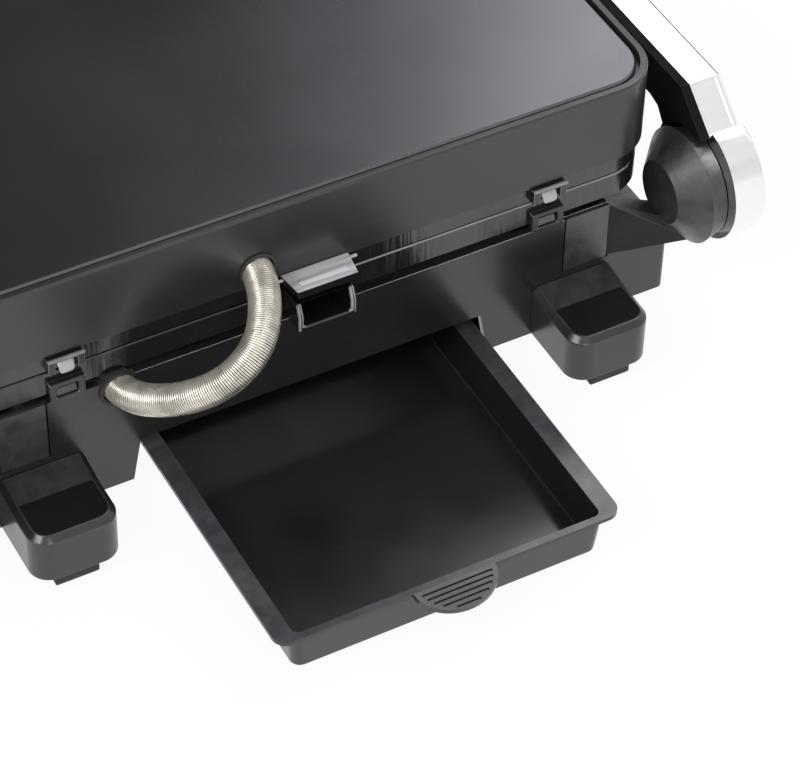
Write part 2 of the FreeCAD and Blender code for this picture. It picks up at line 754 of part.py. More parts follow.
# Sockets that stand on the base's wall, each with a bent sheet spring behind its window
socket = box(clip_x - socket_width / 2.0, clip_x + socket_width / 2.0, plate_rear_y + seat_gap,
             wall_y + socket_proud, base_top_z, socket_top_z)
socket = socket.cut(box(clip_x - socket_window_width / 2.0, clip_x + socket_window_width / 2.0,
                        plate_rear_y - 1.0, wall_y + socket_proud + 1.0,
                        socket_window_bottom_z, socket_window_top_z))
socket = socket.makeFillet(0.5, edges_at(socket, lambda p: near(p.y, wall_y + socket_proud)))
save("lower_sockets", both(socket))
spring_top_z = socket_window_bottom_z + 3.4
sheet = prism_yz([(plate_rear_y + seat_gap, socket_window_bottom_z),
                  (wall_y - 0.2, socket_window_bottom_z),
                  (wall_y - 0.2, socket_window_bottom_z + socket_spring_thickness),
                  (plate_rear_y + seat_gap + socket_spring_thickness, spring_top_z),
                  (plate_rear_y + seat_gap, spring_top_z)],
                 clip_x - socket_window_width / 2.0 + 0.3, clip_x + socket_window_width / 2.0 - 0.3)
save("socket_springs", both(sheet))


# Heating: a tube bent to a long U, a pan that throws the heat back, and a cut-out on the pan
def element(z):
    y = (front_y + wall_y) / 2.0
    legs = []
    for side in (-1, 1):
        legs.append(rod((-element_half_length, y + element_half_spacing * side, z), (1, 0, 0),
                        element_radius, 2.0 * element_half_length - element_half_spacing))
    bend_x = element_half_length - element_half_spacing
    bend = Part.makeTorus(element_half_spacing, element_radius, V(bend_x, y, z), V(0, 0, 1))
    reach = element_half_spacing + element_diameter
    bend = bend.common(box(bend_x, bend_x + reach, y - reach, y + reach, z - element_diameter,
                           z + element_diameter))
    return joined(legs[0], bend, legs[1])


def pan(floor_low_z, floor_high_z, rim_low_z, rim_high_z, half, front, rear):
    outer = rounded_block(half, front, rear, min(floor_low_z, rim_low_z), max(floor_high_z, rim_high_z), 8.0)
    inner = rounded_block(half - pan_thickness, front + pan_thickness, rear - pan_thickness,
                          rim_low_z if rim_low_z < floor_low_z else floor_high_z,
                          rim_high_z if rim_high_z > floor_high_z else floor_low_z, 8.0 - pan_thickness)
    return outer.cut(inner)


save("lower_heating_element", element(lower_element_z))
pan_inset = plate_collar + pan_gap
pan_front_y = collar_front_y + pan_inset
pan_rear_y = collar_rear_y - pan_inset
lower_pan = pan(lower_pan_z - pan_thickness, lower_pan_z, lower_pan_z - pan_thickness,
                lower_plate_floor_z - plate_floor - pan_clearance,
                collar_half - pan_inset, pan_front_y, pan_rear_y)
save("lower_reflector_pan", lower_pan)
mid_y = (front_y + wall_y) / 2.0
save("lower_cutout", rod((cutout_x, mid_y, shelf_top_z - cutout_height),
                         (0, 0, 1), cutout_diameter / 2.0, cutout_height))
upper_floor_top_z = upper_plate_floor_z + plate_floor
upper_element_z = upper_floor_top_z + element_gap + element_radius
upper_pan_z = upper_element_z + element_radius + pan_clearance
save("upper_heating_element", element(upper_element_z))
upper_pan = pan(upper_pan_z, upper_pan_z + pan_thickness, upper_floor_top_z + pan_clearance,
                upper_pan_z + pan_thickness, collar_half - pan_inset, pan_front_y, pan_rear_y)
save("upper_reflector_pan", upper_pan)
recess_floor_z = lid_top_z - panel_recess
lid_ceiling_z = recess_floor_z - lid_ceiling
upper_button_z = (upper_pan_z + pan_thickness + lid_ceiling_z) / 2.0
save("upper_cutout", rod((cutout_x, mid_y, upper_pan_z + pan_thickness + pan_clearance),
                         (0, 0, 1), cutout_diameter / 2.0, cutout_height))
block_y = wall_y - block_from_wall
save("terminal_block", box(block_x, block_x + block_size[0], block_y, block_y + block_size[1],
                           cover_top_z + seat_gap, cover_top_z + seat_gap + block_size[2]))

# Controls on the front wall
fascia_z = (fascia_bottom_z + fascia_top_z) / 2.0
fascia = Part.Face(rounded_wire(fascia_half_width, fascia_bottom_z, fascia_top_z, 0.0, fascia_radius))
fascia = fascia.extrude(V(0, 0, fascia_thickness))
fascia.rotate(V(0, 0, 0), V(1, 0, 0), 90)
fascia.translate(V(0, front_y, 0))
for side in (-1, 1):
    fascia = fascia.cut(rod((knob_x * side, front_y - fascia_thickness - 1.0, knob_z), (0, 1, 0),
                            knob_shaft_radius + knob_hole_clearance, fascia_thickness + 2.0))
    fascia = fascia.cut(rod((lamp_x * side, front_y - fascia_thickness - 1.0, lamp_z), (0, 1, 0),
                            lamp_radius + lamp_clearance, fascia_thickness + 2.0))
save("control_panel", fascia)
fascia_front_y = front_y - fascia_thickness
lamp = rod((lamp_x, fascia_front_y - lamp_proud, lamp_z), (0, 1, 0), lamp_radius,
           lamp_proud + fascia_thickness + base_wall)
save("indicator_lamps", both(lamp))
control = rod((knob_x, front_inner_y, knob_z), (0, 1, 0), control_radius, control_depth)
control = control.cut(rod((knob_x, front_inner_y - 1.0, knob_z), (0, 1, 0),
                          knob_shaft_radius + running_clearance, knob_shaft_in_control + 1.5))
save("temperature_control", mirrored(control))
save("timer_control", control)

knob_back_y = fascia_front_y - knob_gap
knob = rod((knob_x, knob_back_y - knob_thickness, knob_z), (0, 1, 0), knob_radius, knob_thickness)
knob = knob.makeFillet(1.6, edges_at(knob, lambda p: near(p.y, knob_back_y - knob_thickness)))
ridge_y = knob_back_y - knob_thickness - knob_ridge_height
ridge = box(knob_x - knob_ridge_width / 2.0, knob_x + knob_ridge_width / 2.0, ridge_y,
            knob_back_y - knob_thickness + 1.0, knob_z - knob_radius + 3.0, knob_z + knob_radius - 3.0)
ridge = ridge.makeFillet(1.4, edges_at(ridge, lambda p: near(p.y, ridge_y)))
knob_shaft = rod((knob_x, knob_back_y - 1.0, knob_z), (0, 1, 0), knob_shaft_radius,
                 1.0 + knob_gap + fascia_thickness + base_wall + knob_shaft_in_control)
knob = joined(knob, ridge, knob_shaft)
pointer_z = knob_z + knob_radius - 3.0 - 1.6 - pointer_length
pointer = box(knob_x - pointer_width / 2.0, knob_x + pointer_width / 2.0, ridge_y,
              ridge_y + pointer_depth, pointer_z, pointer_z + pointer_length)
knob = knob.cut(pointer)
save("temperature_knob", mirrored(knob))
save("temperature_pointer", mirrored(pointer))
save("timer_knob", knob)
save("timer_pointer", pointer)


def release_button(z, wall):
    """A push button with a narrower tail that reaches inside to the plate's latch."""
    face = box(-button_width / 2.0, button_width / 2.0, front_y - button_proud, front_y + wall + 0.6,
               z - button_height / 2.0, z + button_height / 2.0)
    face = face.makeFillet(1.0, edges_at(face, lambda p: near(p.y, front_y - button_proud)))
    tail = box(-button_width / 3.0, button_width / 3.0, front_y + wall, front_y + wall + button_tail,
               z - button_height / 3.0, z + button_height / 3.0)
    return joined(face, tail)


save("lower_release_button", release_button(lower_button_z, base_wall))
save("upper_release_button", release_button(upper_button_z, lid_wall))

# Mains inlet: a flanged gland whose bore takes the cord
gland = rod((base_half - base_wall, gland_y, gland_z), (1, 0, 0), gland_body_radius, base_wall)
gland = joined(gland, rod((base_half, gland_y, gland_z), (1, 0, 0), gland_flange_radius, gland_flange),
               Part.makeCone(gland_body_radius, gland_nose_radius, gland_nose,
                             V(base_half + gland_flange, gland_y, gland_z), V(1, 0, 0)))
gland_length = base_wall + gland_flange + gland_nose
gland = gland.cut(rod((base_half - base_wall - 1.0, gland_y, gland_z), (1, 0, 0), gland_bore_radius,
                      gland_length + 2.0))
save("cord_gland", gland)

# Lid shell: wall, rim, recess for the top panel, clip notches and the lead's hole
lid = rounded_block(lid_half, front_y, wall_y, lid_bottom_z, lid_top_z, lid_radius)
lid = lid.makeFillet(lid_rim_round, edges_at(lid, lambda p: near(p.z, lid_top_z)))
lid = lid.cut(rounded_block(lid_half - lid_rim_width, front_y + lid_rim_width, wall_y - lid_rim_width,
                            recess_floor_z, lid_top_z + 1.0, lid_radius - lid_rim_width))
lid = lid.cut(rounded_block(lid_half - lid_wall, front_y + lid_wall, wall_y - lid_wall,
                            lid_bottom_z - 1.0, lid_ceiling_z, lid_radius - lid_wall))
clip_notch_half = clip_width / 2.0 + clip_notch_margin
clip_notch = box(clip_x - clip_notch_half, clip_x + clip_notch_half, wall_y - lid_wall - 1.0,
                 wall_y + 1.0, lid_bottom_z - 1.0, clip_notch_top_z)
for shape in both(clip_notch):
    lid = lid.cut(shape)
lid = lid.cut(rod((lead_lid_x, wall_y - lid_wall - 1.0, lead_lid_z), (0, 1, 0), grommet_radius, lid_wall + 2.0))
lid = lid.cut(box(-button_half, button_half, front_y - 1.0, front_y + lid_wall + 1.0,
                  upper_button_z - button_half_z, upper_button_z + button_half_z))
pivot_hole = rod((lid_half - lid_wall - 1.0, pivot_y, arm_z), (1, 0, 0),
                 pivot_radius + running_clearance, lid_wall + 2.0)
for shape in both(pivot_hole):
    lid = lid.cut(shape)
save("lid_shell", lid)

panel_inset = lid_rim_width + panel_gap
panel = rounded_block(lid_half - panel_inset, front_y + panel_inset, wall_y - panel_inset,
                      recess_floor_z, lid_top_z - panel_drop, lid_radius - panel_inset)
panel = panel.makeChamfer(panel_bevel, edges_at(panel, lambda p: near(p.z, lid_top_z - panel_drop)))
save("lid_top_panel", panel)

boss_end_x = liner_in_x - pivot_side_gap
boss = rod((lid_half, pivot_y, arm_z), (1, 0, 0), pivot_boss_radius, boss_end_x - lid_half)
boss = boss.cut(rod((lid_half - 1.0, pivot_y, arm_z), (1, 0, 0), pivot_radius + running_clearance,
                    boss_end_x - lid_half + 2.0))
boss = boss.makeFillet(1.0, [edge for edge in edges_at(boss, lambda p: near(p.x, boss_end_x))
                             if near(edge.Curve.Radius, pivot_boss_radius)])
save("lid_pivot_bosses", both(boss))


# Grommets: a ring in the wall and a thin lip outside it
def grommet(x, z, wall, inner_y):
    ring = rod((x, inner_y, z), (0, 1, 0), grommet_radius - fixed_fit, wall + grommet_lip)
    lip = rod((x, wall_y + seat_gap, z), (0, 1, 0), grommet_radius + grommet_flange, grommet_lip - seat_gap)
    bore = rod((x, inner_y - 1.0, z), (0, 1, 0), lead_radius + fixed_fit, wall + grommet_lip + 2.0)
    return ring, lip, bore


ring, lip, bore = grommet(lead_base_x, lead_base_z, base_wall, wall_y - base_wall)
lip = lip.common(box(lead_base_x - 20.0, lead_base_x + 20.0, wall_y - 5.0, wall_y + 5.0,
                     0.0, lower_plate_bottom_z))
saddle_half = grommet_radius - fixed_fit
saddle = box(lead_base_x - saddle_half, lead_base_x + saddle_half, wall_y - base_wall, wall_y,
             lead_base_z, base_top_z - seat_gap)
save("base_grommet", joined(ring, lip, saddle).cut(bore))
ring, lip, bore = grommet(lead_lid_x, lead_lid_z, lid_wall, wall_y - lid_wall)
lip = lip.common(box(lead_lid_x - 20.0, lead_lid_x + 20.0, wall_y - 5.0, wall_y + 5.0,
                     lid_bottom_z - 0.2, lid_top_z))
save("lid_grommet", joined(ring, lip).cut(bore))


# The lead: straight runs joined by tangent arcs, in the plane of its two holes
def tube_path(points):
    edges = []
    radii = []
    at = points[0]
    for index in range(1, len(points) - 1):
        before = points[index] - points[index - 1]
        after = points[index + 1] - points[index]
        turn = before.getAngle(after)
        reach = arc_share * min(before.Length, after.Length)
        radius = reach / math.tan(turn / 2.0)
        radii.append(round(radius, 1))
        into = V(before).normalize()
        out = V(after).normalize()
        start = points[index] - into * reach
        end = points[index] + out * reach
        bisector = (out - into).normalize()
        centre = points[index] + bisector * math.hypot(radius, reach)
        middle = centre - bisector * radius
        edges.append(Part.LineSegment(at, start).toShape())
        edges.append(Part.Arc(start, middle, end).toShape())
        at = end
    edges.append(Part.LineSegment(at, points[-1]).toShape())
    return Part.Wire(edges), radii


def lead_point(share, out):
    x = lead_lid_x + share * (lead_base_x - lead_lid_x)
    z = lead_lid_z + share * (lead_base_z - lead_lid_z)
    return V(x, wall_y + out, z)


lead_points = [lead_point(0.0, -lead_inside)]
lead_points += [lead_point(share, out) for share, out in lead_span_points]
lead_points.append(lead_point(1.0, -lead_inside))
path, lead_radii = tube_path(lead_points)
section = Part.Wire(Part.makeCircle(lead_radius, lead_points[0], V(0, 1, 0)))
lead = path.makePipeShell([section], True, False)
save("power_lead", lead)
print("lead radii", lead_radii, "length", round(path.Length, 1),
      "volume share", round(lead.Volume / (math.pi * lead_radius ** 2 * path.Length), 4))


# Arms: a polished cover along the outside, a liner inside it, a round boss at the hub
def arm_block(x0, x1):
    low_y = wall_y - arm_step_y
    outline = [(grip_y, arm_bottom_z), (low_y, arm_bottom_z), (low_y + 6.0, arm_bottom_z - 1.6),
               (low_y + 10.5, arm_bottom_z - 7.5), (wall_y - 8.0, arm_bottom_z - 12.0),
               (wall_y + arm_slope_end_y, arm_slope_end_z - 6.0),
               (wall_y + arm_slope_end_y, arm_slope_end_z),
               (wall_y - arm_bend_y, arm_top_z), (grip_y, arm_top_z)]
    length = x1 - x0
    band = prism_yz(outline, x0, x1)
    boss = rod((x0, hub_y + arm_boss_back, hub_z + arm_boss_rise), (1, 0, 0), arm_boss_radius, length)
    nose = rod((x0, grip_y, arm_z), (1, 0, 0), (arm_top_z - arm_bottom_z) / 2.0, length)
    riser_y = wall_y + arm_slope_end_y + arm_riser_run
    above = [(wall_y - arm_bend_y, arm_top_z), (wall_y + arm_slope_end_y, arm_slope_end_z),
             (riser_y, arm_slope_end_z + arm_riser_height), (riser_y, arm_top_z + 1.0),
             (wall_y - arm_bend_y, arm_top_z + 1.0)]
    return joined(band, boss, nose).cut(prism_yz(above, x0 - 1.0, x1 + 1.0)).removeSplitter()


cover = arm_block(arm_in_x, arm_out_x)
cover = cover.makeFillet(arm_edge_round, edges_at(cover, lambda p: near(p.x, arm_out_x)))
cover = cover.cut(rod((arm_in_x - 1.0, hub_y, hub_z), (1, 0, 0), hinge_shaft_radius + running_clearance,
                      1.0 + shaft_in_arm + shaft_end_clearance))
cover = cover.cut(rod((arm_out_x - cap_recess, hub_y, hub_z), (1, 0, 0), cap_radius + fixed_fit, cap_recess + 1.0))
cover = cover.cut(rod((arm_in_x - 1.0, grip_y, arm_z), (1, 0, 0), grip_bar_radius + fixed_fit,
                      1.0 + pivot_in_arm))
cover = cover.cut(rod((arm_in_x - 1.0, pivot_y, arm_z), (1, 0, 0), pivot_radius + fixed_fit,
                      1.0 + pivot_in_arm))
liner = arm_block(liner_in_x, arm_in_x)
liner = liner.cut(rod((liner_in_x - 1.0, hub_y, hub_z), (1, 0, 0), hub_big_radius + liner_ring_clearance,
                      arm_liner_width + 2.0))
behind_boss_y = hub_y + 2.0 * arm_boss_radius
liner = liner.cut(box(liner_in_x - 1.0, arm_in_x + 1.0, wall_y + liner_rear_limit, behind_boss_y,
                      0.0, arm_top_z))
liner = liner.cut(box(liner_in_x - 1.0, arm_in_x + 1.0, hub_y - arm_boss_radius - 1.0, behind_boss_y,
                      0.0, hub_z))
liner = liner.cut(rod((liner_in_x - 1.0, grip_y, arm_z), (1, 0, 0), grip_bar_radius + fixed_fit,
                      arm_liner_width + 2.0))
liner = liner.cut(rod((liner_in_x - 1.0, pivot_y, arm_z), (1, 0, 0), pivot_radius + fixed_fit,
                      arm_liner_width + 2.0))
arm_screws = []
for screw_y in arm_screw_ys:
    pilot = rod((liner_in_x - 1.0, wall_y - screw_y, arm_z), (1, 0, 0),
                screw_shank_radius + screw_hole_clearance, screw_length + 1.2)
    liner = liner.cut(pilot)
    cover = cover.cut(pilot)
    arm_screws += both(screw((liner_in_x, wall_y - screw_y, arm_z), (1, 0, 0)))
save("arm_cover_left", cover)
save("arm_cover_right", mirrored(cover))
save("arm_liner_left", liner)
save("arm_liner_right", mirrored(liner))
save("arm_screws", arm_screws)
pin = rod((lid_half - lid_wall, pivot_y, arm_z), (1, 0, 0), pivot_radius,
          arm_in_x + pivot_in_arm - lid_half + lid_wall)
save("pivot_pins", both(pin))
cap = rod((arm_out_x - cap_recess, hub_y, hub_z), (1, 0, 0), cap_radius, cap_thickness)
cap = cap.makeChamfer(0.4, edges_at(cap, lambda p: near(p.x, arm_out_x - cap_recess + cap_thickness)))
save("hinge_caps", both(cap))

# Grip: a bar between the arms, a sleeve over it and a collar at each end
bar_half = arm_in_x + pivot_in_arm
save("grip_bar", rod((-bar_half, grip_y, arm_z), (1, 0, 0), grip_bar_radius, 2.0 * bar_half))
sleeve = rod((-grip_half_length, grip_y, arm_z), (1, 0, 0), grip_radius, 2.0 * grip_half_length)
sleeve = sleeve.makeFillet(2.5, [edge for edge in sleeve.Edges if near(abs(edge.BoundBox.XMin), grip_half_length)
                                 and near(edge.BoundBox.XLength, 0.0)])
sleeve = sleeve.cut(rod((-grip_half_length - 1.0, grip_y, arm_z), (1, 0, 0), grip_bar_radius + fixed_fit,
                        2.0 * grip_half_length + 2.0))
save("grip_sleeve", sleeve)
collar = rod((grip_half_length + cover_gap, grip_y, arm_z), (1, 0, 0), collar_radius, collar_length)
collar = collar.cut(rod((grip_half_length, grip_y, arm_z), (1, 0, 0), grip_bar_radius + fixed_fit,
                        collar_length + 2.0))
save("grip_collars", both(collar))

# Grease tray: a tub with a flanged rim and a ribbed finger tab
rim_outer = rounded_block(tray_rim_half_width, tray_front_y, tray_rear_y, rim_under_z, tray_rim_z,
                          tray_rim_radius)
inner_half = tray_rim_half_width - tray_side_rim
inner_front = tray_front_y + tray_end_rim
inner_rear = tray_rear_y - tray_end_rim
inner_radius = tray_rim_radius - tray_end_rim
floor_z = tray_bottom_z + tray_wall
outer_low = rounded_wire(inner_half + tray_wall - tray_draft, inner_front - tray_wall + tray_draft,
                         inner_rear + tray_wall - tray_draft, tray_bottom_z, inner_radius + tray_wall)
outer_high = rounded_wire(inner_half + tray_wall, inner_front - tray_wall, inner_rear + tray_wall,
                          tray_rim_z, inner_radius + tray_wall)
tub = Part.makeLoft([outer_low, outer_high], True, True)
tub = tub.makeFillet(tray_bottom_round, edges_at(tub, lambda p: near(p.z, tray_bottom_z)))
inner_low = rounded_wire(inner_half - tray_draft, inner_front + tray_draft, inner_rear - tray_draft,
                         floor_z, inner_radius)
inner_high = rounded_wire(inner_half, inner_front, inner_rear, tray_rim_z + 0.01, inner_radius)
hollow = Part.makeLoft([inner_low, inner_high], True, True)
hollow = hollow.makeFillet(tray_inner_round, edges_at(hollow, lambda p: near(p.z, floor_z)))
tab = Part.Face(Part.Wire(Part.Ellipse(V(0, 0, 0), tab_half_width, tab_reach).toShape()))
tab = tab.extrude(V(0, 0, tab_thickness))
tab = tab.cut(box(-tab_half_width, tab_half_width, -tab_reach, 0.0, -1.0, tab_thickness + 1.0))
for index in range(tab_grooves):
    groove_y = 1.8 + index * tab_groove_pitch
    share = math.sqrt(max(0.0, 1.0 - ((groove_y + tab_groove_width) / tab_reach) ** 2))
    groove_half = tab_half_width * share - 2.0
    tab = tab.cut(box(-groove_half, groove_half, groove_y, groove_y + tab_groove_width,
                      tab_thickness - tab_groove_depth, tab_thickness + 1.0))
tab.translate(V(0, 0, -tab_thickness))
tab.rotate(V(0, 0, 0), V(1, 0, 0), -tab_tilt)
tab.translate(V(0, tray_rear_y, tray_rim_z))
tab_root = box(-tab_half_width, tab_half_width, tray_rear_y - tray_end_rim + 0.5, tray_rear_y + 0.4,
               tray_rim_z - tab_thickness, tray_rim_z - 0.1)
tray = joined(rim_outer, tub, tab_root, tab).cut(hollow)
save("drip_tray", tray)

print("rear wall at y", round(wall_y, 2), "front wall at y", round(front_y, 2), "hub y", round(hub_y, 2),
      "pivot y", round(pivot_y, 2), "arm z", round(arm_z, 2), "outer x", round(arm_out_x, 2))
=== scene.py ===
import json
import math
from contextlib import contextmanager

import bpy
from mathutils import Matrix, Vector

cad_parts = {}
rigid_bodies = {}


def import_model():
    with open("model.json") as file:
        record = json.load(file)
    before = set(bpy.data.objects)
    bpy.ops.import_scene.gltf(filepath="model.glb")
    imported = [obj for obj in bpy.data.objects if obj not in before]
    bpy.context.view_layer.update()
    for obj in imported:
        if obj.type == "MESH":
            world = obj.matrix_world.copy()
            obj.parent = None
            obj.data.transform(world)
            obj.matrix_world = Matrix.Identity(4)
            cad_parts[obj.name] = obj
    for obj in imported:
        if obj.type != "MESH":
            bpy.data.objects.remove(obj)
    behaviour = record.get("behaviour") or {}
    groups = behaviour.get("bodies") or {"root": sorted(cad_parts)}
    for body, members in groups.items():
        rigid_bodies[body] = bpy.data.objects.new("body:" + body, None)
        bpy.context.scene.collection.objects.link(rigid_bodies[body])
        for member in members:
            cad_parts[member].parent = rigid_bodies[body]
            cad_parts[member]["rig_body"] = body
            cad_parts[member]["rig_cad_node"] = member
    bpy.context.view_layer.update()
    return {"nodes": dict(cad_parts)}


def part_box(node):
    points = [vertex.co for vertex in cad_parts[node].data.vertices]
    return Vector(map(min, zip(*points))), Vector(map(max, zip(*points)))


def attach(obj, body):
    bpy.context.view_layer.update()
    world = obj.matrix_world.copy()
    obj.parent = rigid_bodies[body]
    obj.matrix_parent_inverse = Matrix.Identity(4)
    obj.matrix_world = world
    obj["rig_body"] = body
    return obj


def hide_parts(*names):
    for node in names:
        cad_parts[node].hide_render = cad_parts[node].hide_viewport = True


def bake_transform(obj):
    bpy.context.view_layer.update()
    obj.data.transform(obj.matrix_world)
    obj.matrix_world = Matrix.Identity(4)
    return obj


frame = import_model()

bl_info = {
    "name": "Contact grill dressing",
    "version": (1, 0, 0),
    "blender": (4, 5, 0),
    "location": "View3D > Sidebar > Grill",
    "description": "Dresses a contact grill with rounded mouldings, a wound lead, finishes and a pale studio",
    "category": "Object",
}

MM = 0.001
QUARTER_TURN = math.pi / 2.0

# Places on the grill.
REAR_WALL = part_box("base_housing")[1].y
# The hub's web, out past the root and below the top, takes a darker matt finish as painted shade.
GUSSET_ROOT = 134.5 * MM
GUSSET_TOP = 44.0 * MM

# Merging, rounding and shading of the pieces, with angles in degrees.
MERGE_GAP = 0.004 * MM
FLAT_ANGLE = 0.6
SMOOTH_ANGLE = 32.0
ROUNDED_ANGLE = 34.0
COVER_ANGLE = 17.0
COVER_EDGE = 1.0 * MM
LINER_EDGE = 0.8 * MM
SPOUT_EDGE = 0.9 * MM
HOOD_EDGE = 0.3 * MM
SHORTEST_CREASE = 15.0 * MM

# The painted highlights along the rear seams: how far they reach in from the rear, down, and across towards
# the lead.
SEAM_DEPTH = 2.0 * MM
SEAM_END = 20.0 * MM
HOUSING_SEAM_DROP = 1.2 * MM
PLATE_SEAM_DROP = 2.5 * MM

# The spout's lip, the hood's slim ridge, the facet sunk into the arm cover and the tray's rim.
SPOUT_LIP = 2.5 * MM
RIDGE_LENGTH_SHARE = 0.97
RIDGE_WIDTH_SHARE = 0.34
RIDGE_TOP_SHARE = 0.7
HOOD_WALL_DROP = 0.1 * MM
FACET_NORMAL = Vector((0.0, 0.643, 0.766))
FACET_MARGIN = 0.8 * MM
FACET_DEPTH = 0.35 * MM
TRAY_RIM = 0.6 * MM

# The clips' tongues, each bend as millimetres out from the rear wall and up from the tongue's foot.
TONGUE_BENDS = ((-1.4, 6.1), (0.2, 4.9), (1.3, 3.0), (1.9, 1.5), (1.95, 0.7), (1.5, 0.15))
TONGUE_TAPERS = (1.0, 0.98, 0.94, 0.86, 0.74)
TONGUE_HALF = 3.5 * MM
TONGUE_INSET = 0.2 * MM
TONGUE_SHEET = 0.45 * MM

# The lips over the clips.
LIP_SIZE = (15.6 * MM, 1.5 * MM, 1.4 * MM)
LIP_EDGE = 0.55 * MM
LIP_PROUD = 1.5 * MM
LIP_DROP = 0.35 * MM

# The dashes around the knobs.
DASH_SIZE = (0.8 * MM, 0.3 * MM, 2.6 * MM)
DASH_EDGE = 0.08 * MM
DASH_GAP = 2.6 * MM
DASH_LIFT = 0.05 * MM
DASH_STEP = 27.0
DASHES_EACH_WAY = 5

# The screws.
SCREW_RADIUS = 3.4 * MM
SCREW_HEAD = 1.8 * MM
SCREW_EDGE = 0.7 * MM
SHANK_STEP = 1.8 * MM
SHANK_LENGTH = 13.5 * MM
RECESS_SIZE = (3.8 * MM, 0.8 * MM, 1.8 * MM)
LINER_SCREW_REACH = 14.0 * MM

# The lead's route between its two holes: the points that the wound steel follows, in metres.
LEAD_ROUTE = (
    (0.0844, 0.08472, 0.0585), (0.0844, 0.09832, 0.0585), (0.070810, 0.11722, 0.066735),
    (0.053113, 0.12692, 0.077459), (0.035657, 0.12162, 0.088036), (0.0240, 0.09862, 0.0951),
    (0.0240, 0.08472, 0.0951),
)
WIRE_STEPS = 22
WIRE_SIDES = 6
SLEEVE_SIDES = 24
SLEEVE_SHARE = 0.12

# The material slot and the finishes of the common kinds of piece.
# Black mouldings take a paler edge finish: partly rubbed wear, partly painted highlight.
BLACK = ("black_plastic", "base_plastic", "base_edge")
# Clips and sockets take a painted sheen on their rounded edges.
CLIP_BLACK = ("black_plastic", "base_plastic", "clip_lip")
COATED = ("plate_coating", "coating", "coating_edge")
# Polished pieces take a darker edge finish as painted shade.
POLISHED = ("polished_aluminium", "aluminium", "aluminium_edge")
SOFT_GRIP = ("grip", "grip_plastic", "base_edge")

# What the settings of one kind have in common.
COLOUR = dict(subtype="COLOR", size=3, min=0.0, max=1.0)
SHARE = dict(subtype="FACTOR", min=0.0, max=1.0)
LENGTH = dict(subtype="DISTANCE", unit="LENGTH", precision=5)
TURN = dict(subtype="ANGLE", unit="ROTATION")


class FinishSettings(bpy.types.PropertyGroup):
    """Colours and gloss of the grill's finishes."""
    lid_colour: bpy.props.FloatVectorProperty(
        name="Lid colour", description="Satin grey of the lid's shell",
        default=(0.0165, 0.0168, 0.0185), **COLOUR)
    panel_colour: bpy.props.FloatVectorProperty(
        name="Panel colour", description="Satin grey of the panel let into the lid",
        default=(0.138, 0.141, 0.151), **COLOUR)
    base_colour: bpy.props.FloatVectorProperty(
        name="Base colour", description="Black of the base, the feet and the hubs",
        default=(0.0120, 0.0123, 0.0136), **COLOUR)
    coating_colour: bpy.props.FloatVectorProperty(
        name="Coating colour", description="Non-stick coating of the two grill plates",
        default=(0.006, 0.006, 0.0065), **COLOUR)
    tray_colour: bpy.props.FloatVectorProperty(
        name="Tray colour", description="Grey of the grease tray",
        default=(0.0090, 0.0092, 0.0103), **COLOUR)
    aluminium_colour: bpy.props.FloatVectorProperty(
        name="Aluminium colour", description="Polished aluminium of the arm covers",
        default=(0.91, 0.91, 0.915), **COLOUR)
    wire_colour: bpy.props.FloatVectorProperty(
        name="Wire colour", description="Pale steel wire of the lead's sheath",
        default=(0.735, 0.695, 0.615), **COLOUR)
    moulding_gloss: bpy.props.FloatProperty(
        name="Moulding roughness", description="Roughness of the moulded plastic", default=0.25, **SHARE)
    coating_gloss: bpy.props.FloatProperty(
        name="Coating roughness", description="Roughness of the non-stick coating", default=0.16, **SHARE)


class EdgeSettings(bpy.types.PropertyGroup):
    """How far the edges of the pieces are rounded."""
    moulding_edge: bpy.props.FloatProperty(
        name="Moulding edge", description="Rounding of the edges of moulded pieces",
        default=0.00045, min=0.0, max=0.002, **LENGTH)
    casting_edge: bpy.props.FloatProperty(
        name="Casting edge", description="Rounding of the edges of the cast plates",
        default=0.0004, min=0.0, max=0.002, **LENGTH)
    sheet_edge: bpy.props.FloatProperty(
        name="Sheet edge", description="Rounding of the edges of sheet metal",
        default=0.0002, min=0.0, max=0.001, **LENGTH)


class LeadSettings(bpy.types.PropertyGroup):
    """Sizes of the lead in its wound steel sheath."""
    outer_diameter: bpy.props.FloatProperty(
        name="Outer diameter", description="Diameter over the wire",
        default=0.013, min=0.004, max=0.03, **LENGTH)
    pitch: bpy.props.FloatProperty(
        name="Pitch", description="Length along the lead of one turn of the wire",
        default=0.00088, min=0.0006, max=0.006, **LENGTH)
    wire_diameter: bpy.props.FloatProperty(
        name="Wire diameter", description="Thickness of the wound wire",
        default=0.00079, min=0.0004, max=0.004, **LENGTH)
    base_share: bpy.props.FloatProperty(
        name="Base part", description="Length of the part that bends between the base and the arms",
        default=0.080, min=0.04, max=0.11, **LENGTH)


class StageSettings(bpy.types.PropertyGroup):
    """Camera, lights and floor."""
    camera_place: bpy.props.FloatVectorProperty(
        name="Camera place", description="Where the camera stands", default=(0.4222, 0.91742, 0.9459),
        size=3, subtype="TRANSLATION", unit="LENGTH")
    azimuth: bpy.props.FloatProperty(
        name="Azimuth", description="Direction of the camera about the grill",
        default=math.radians(150.77), **TURN)
    elevation: bpy.props.FloatProperty(
        name="Elevation", description="Height of the camera as an angle",
        default=math.radians(44.89), **TURN)
    roll: bpy.props.FloatProperty(
        name="Roll", description="Turn of the camera about its line of sight",
        default=math.radians(1.39), **TURN)
    lens: bpy.props.FloatProperty(
        name="Lens", description="Focal length for a 36 mm wide sensor", default=147.24, min=10.0, max=400.0,
        subtype="DISTANCE_CAMERA", unit="CAMERA")
    surround: bpy.props.FloatProperty(
        name="Surround", description="Brightness of the studio behind the grill",
        default=0.95, min=0.0, max=2.0)
    overhead: bpy.props.FloatProperty(
        name="Overhead light", description="Strength of the soft light above the grill",
        default=33.0, min=0.0, max=100.0, subtype="POWER", unit="POWER")


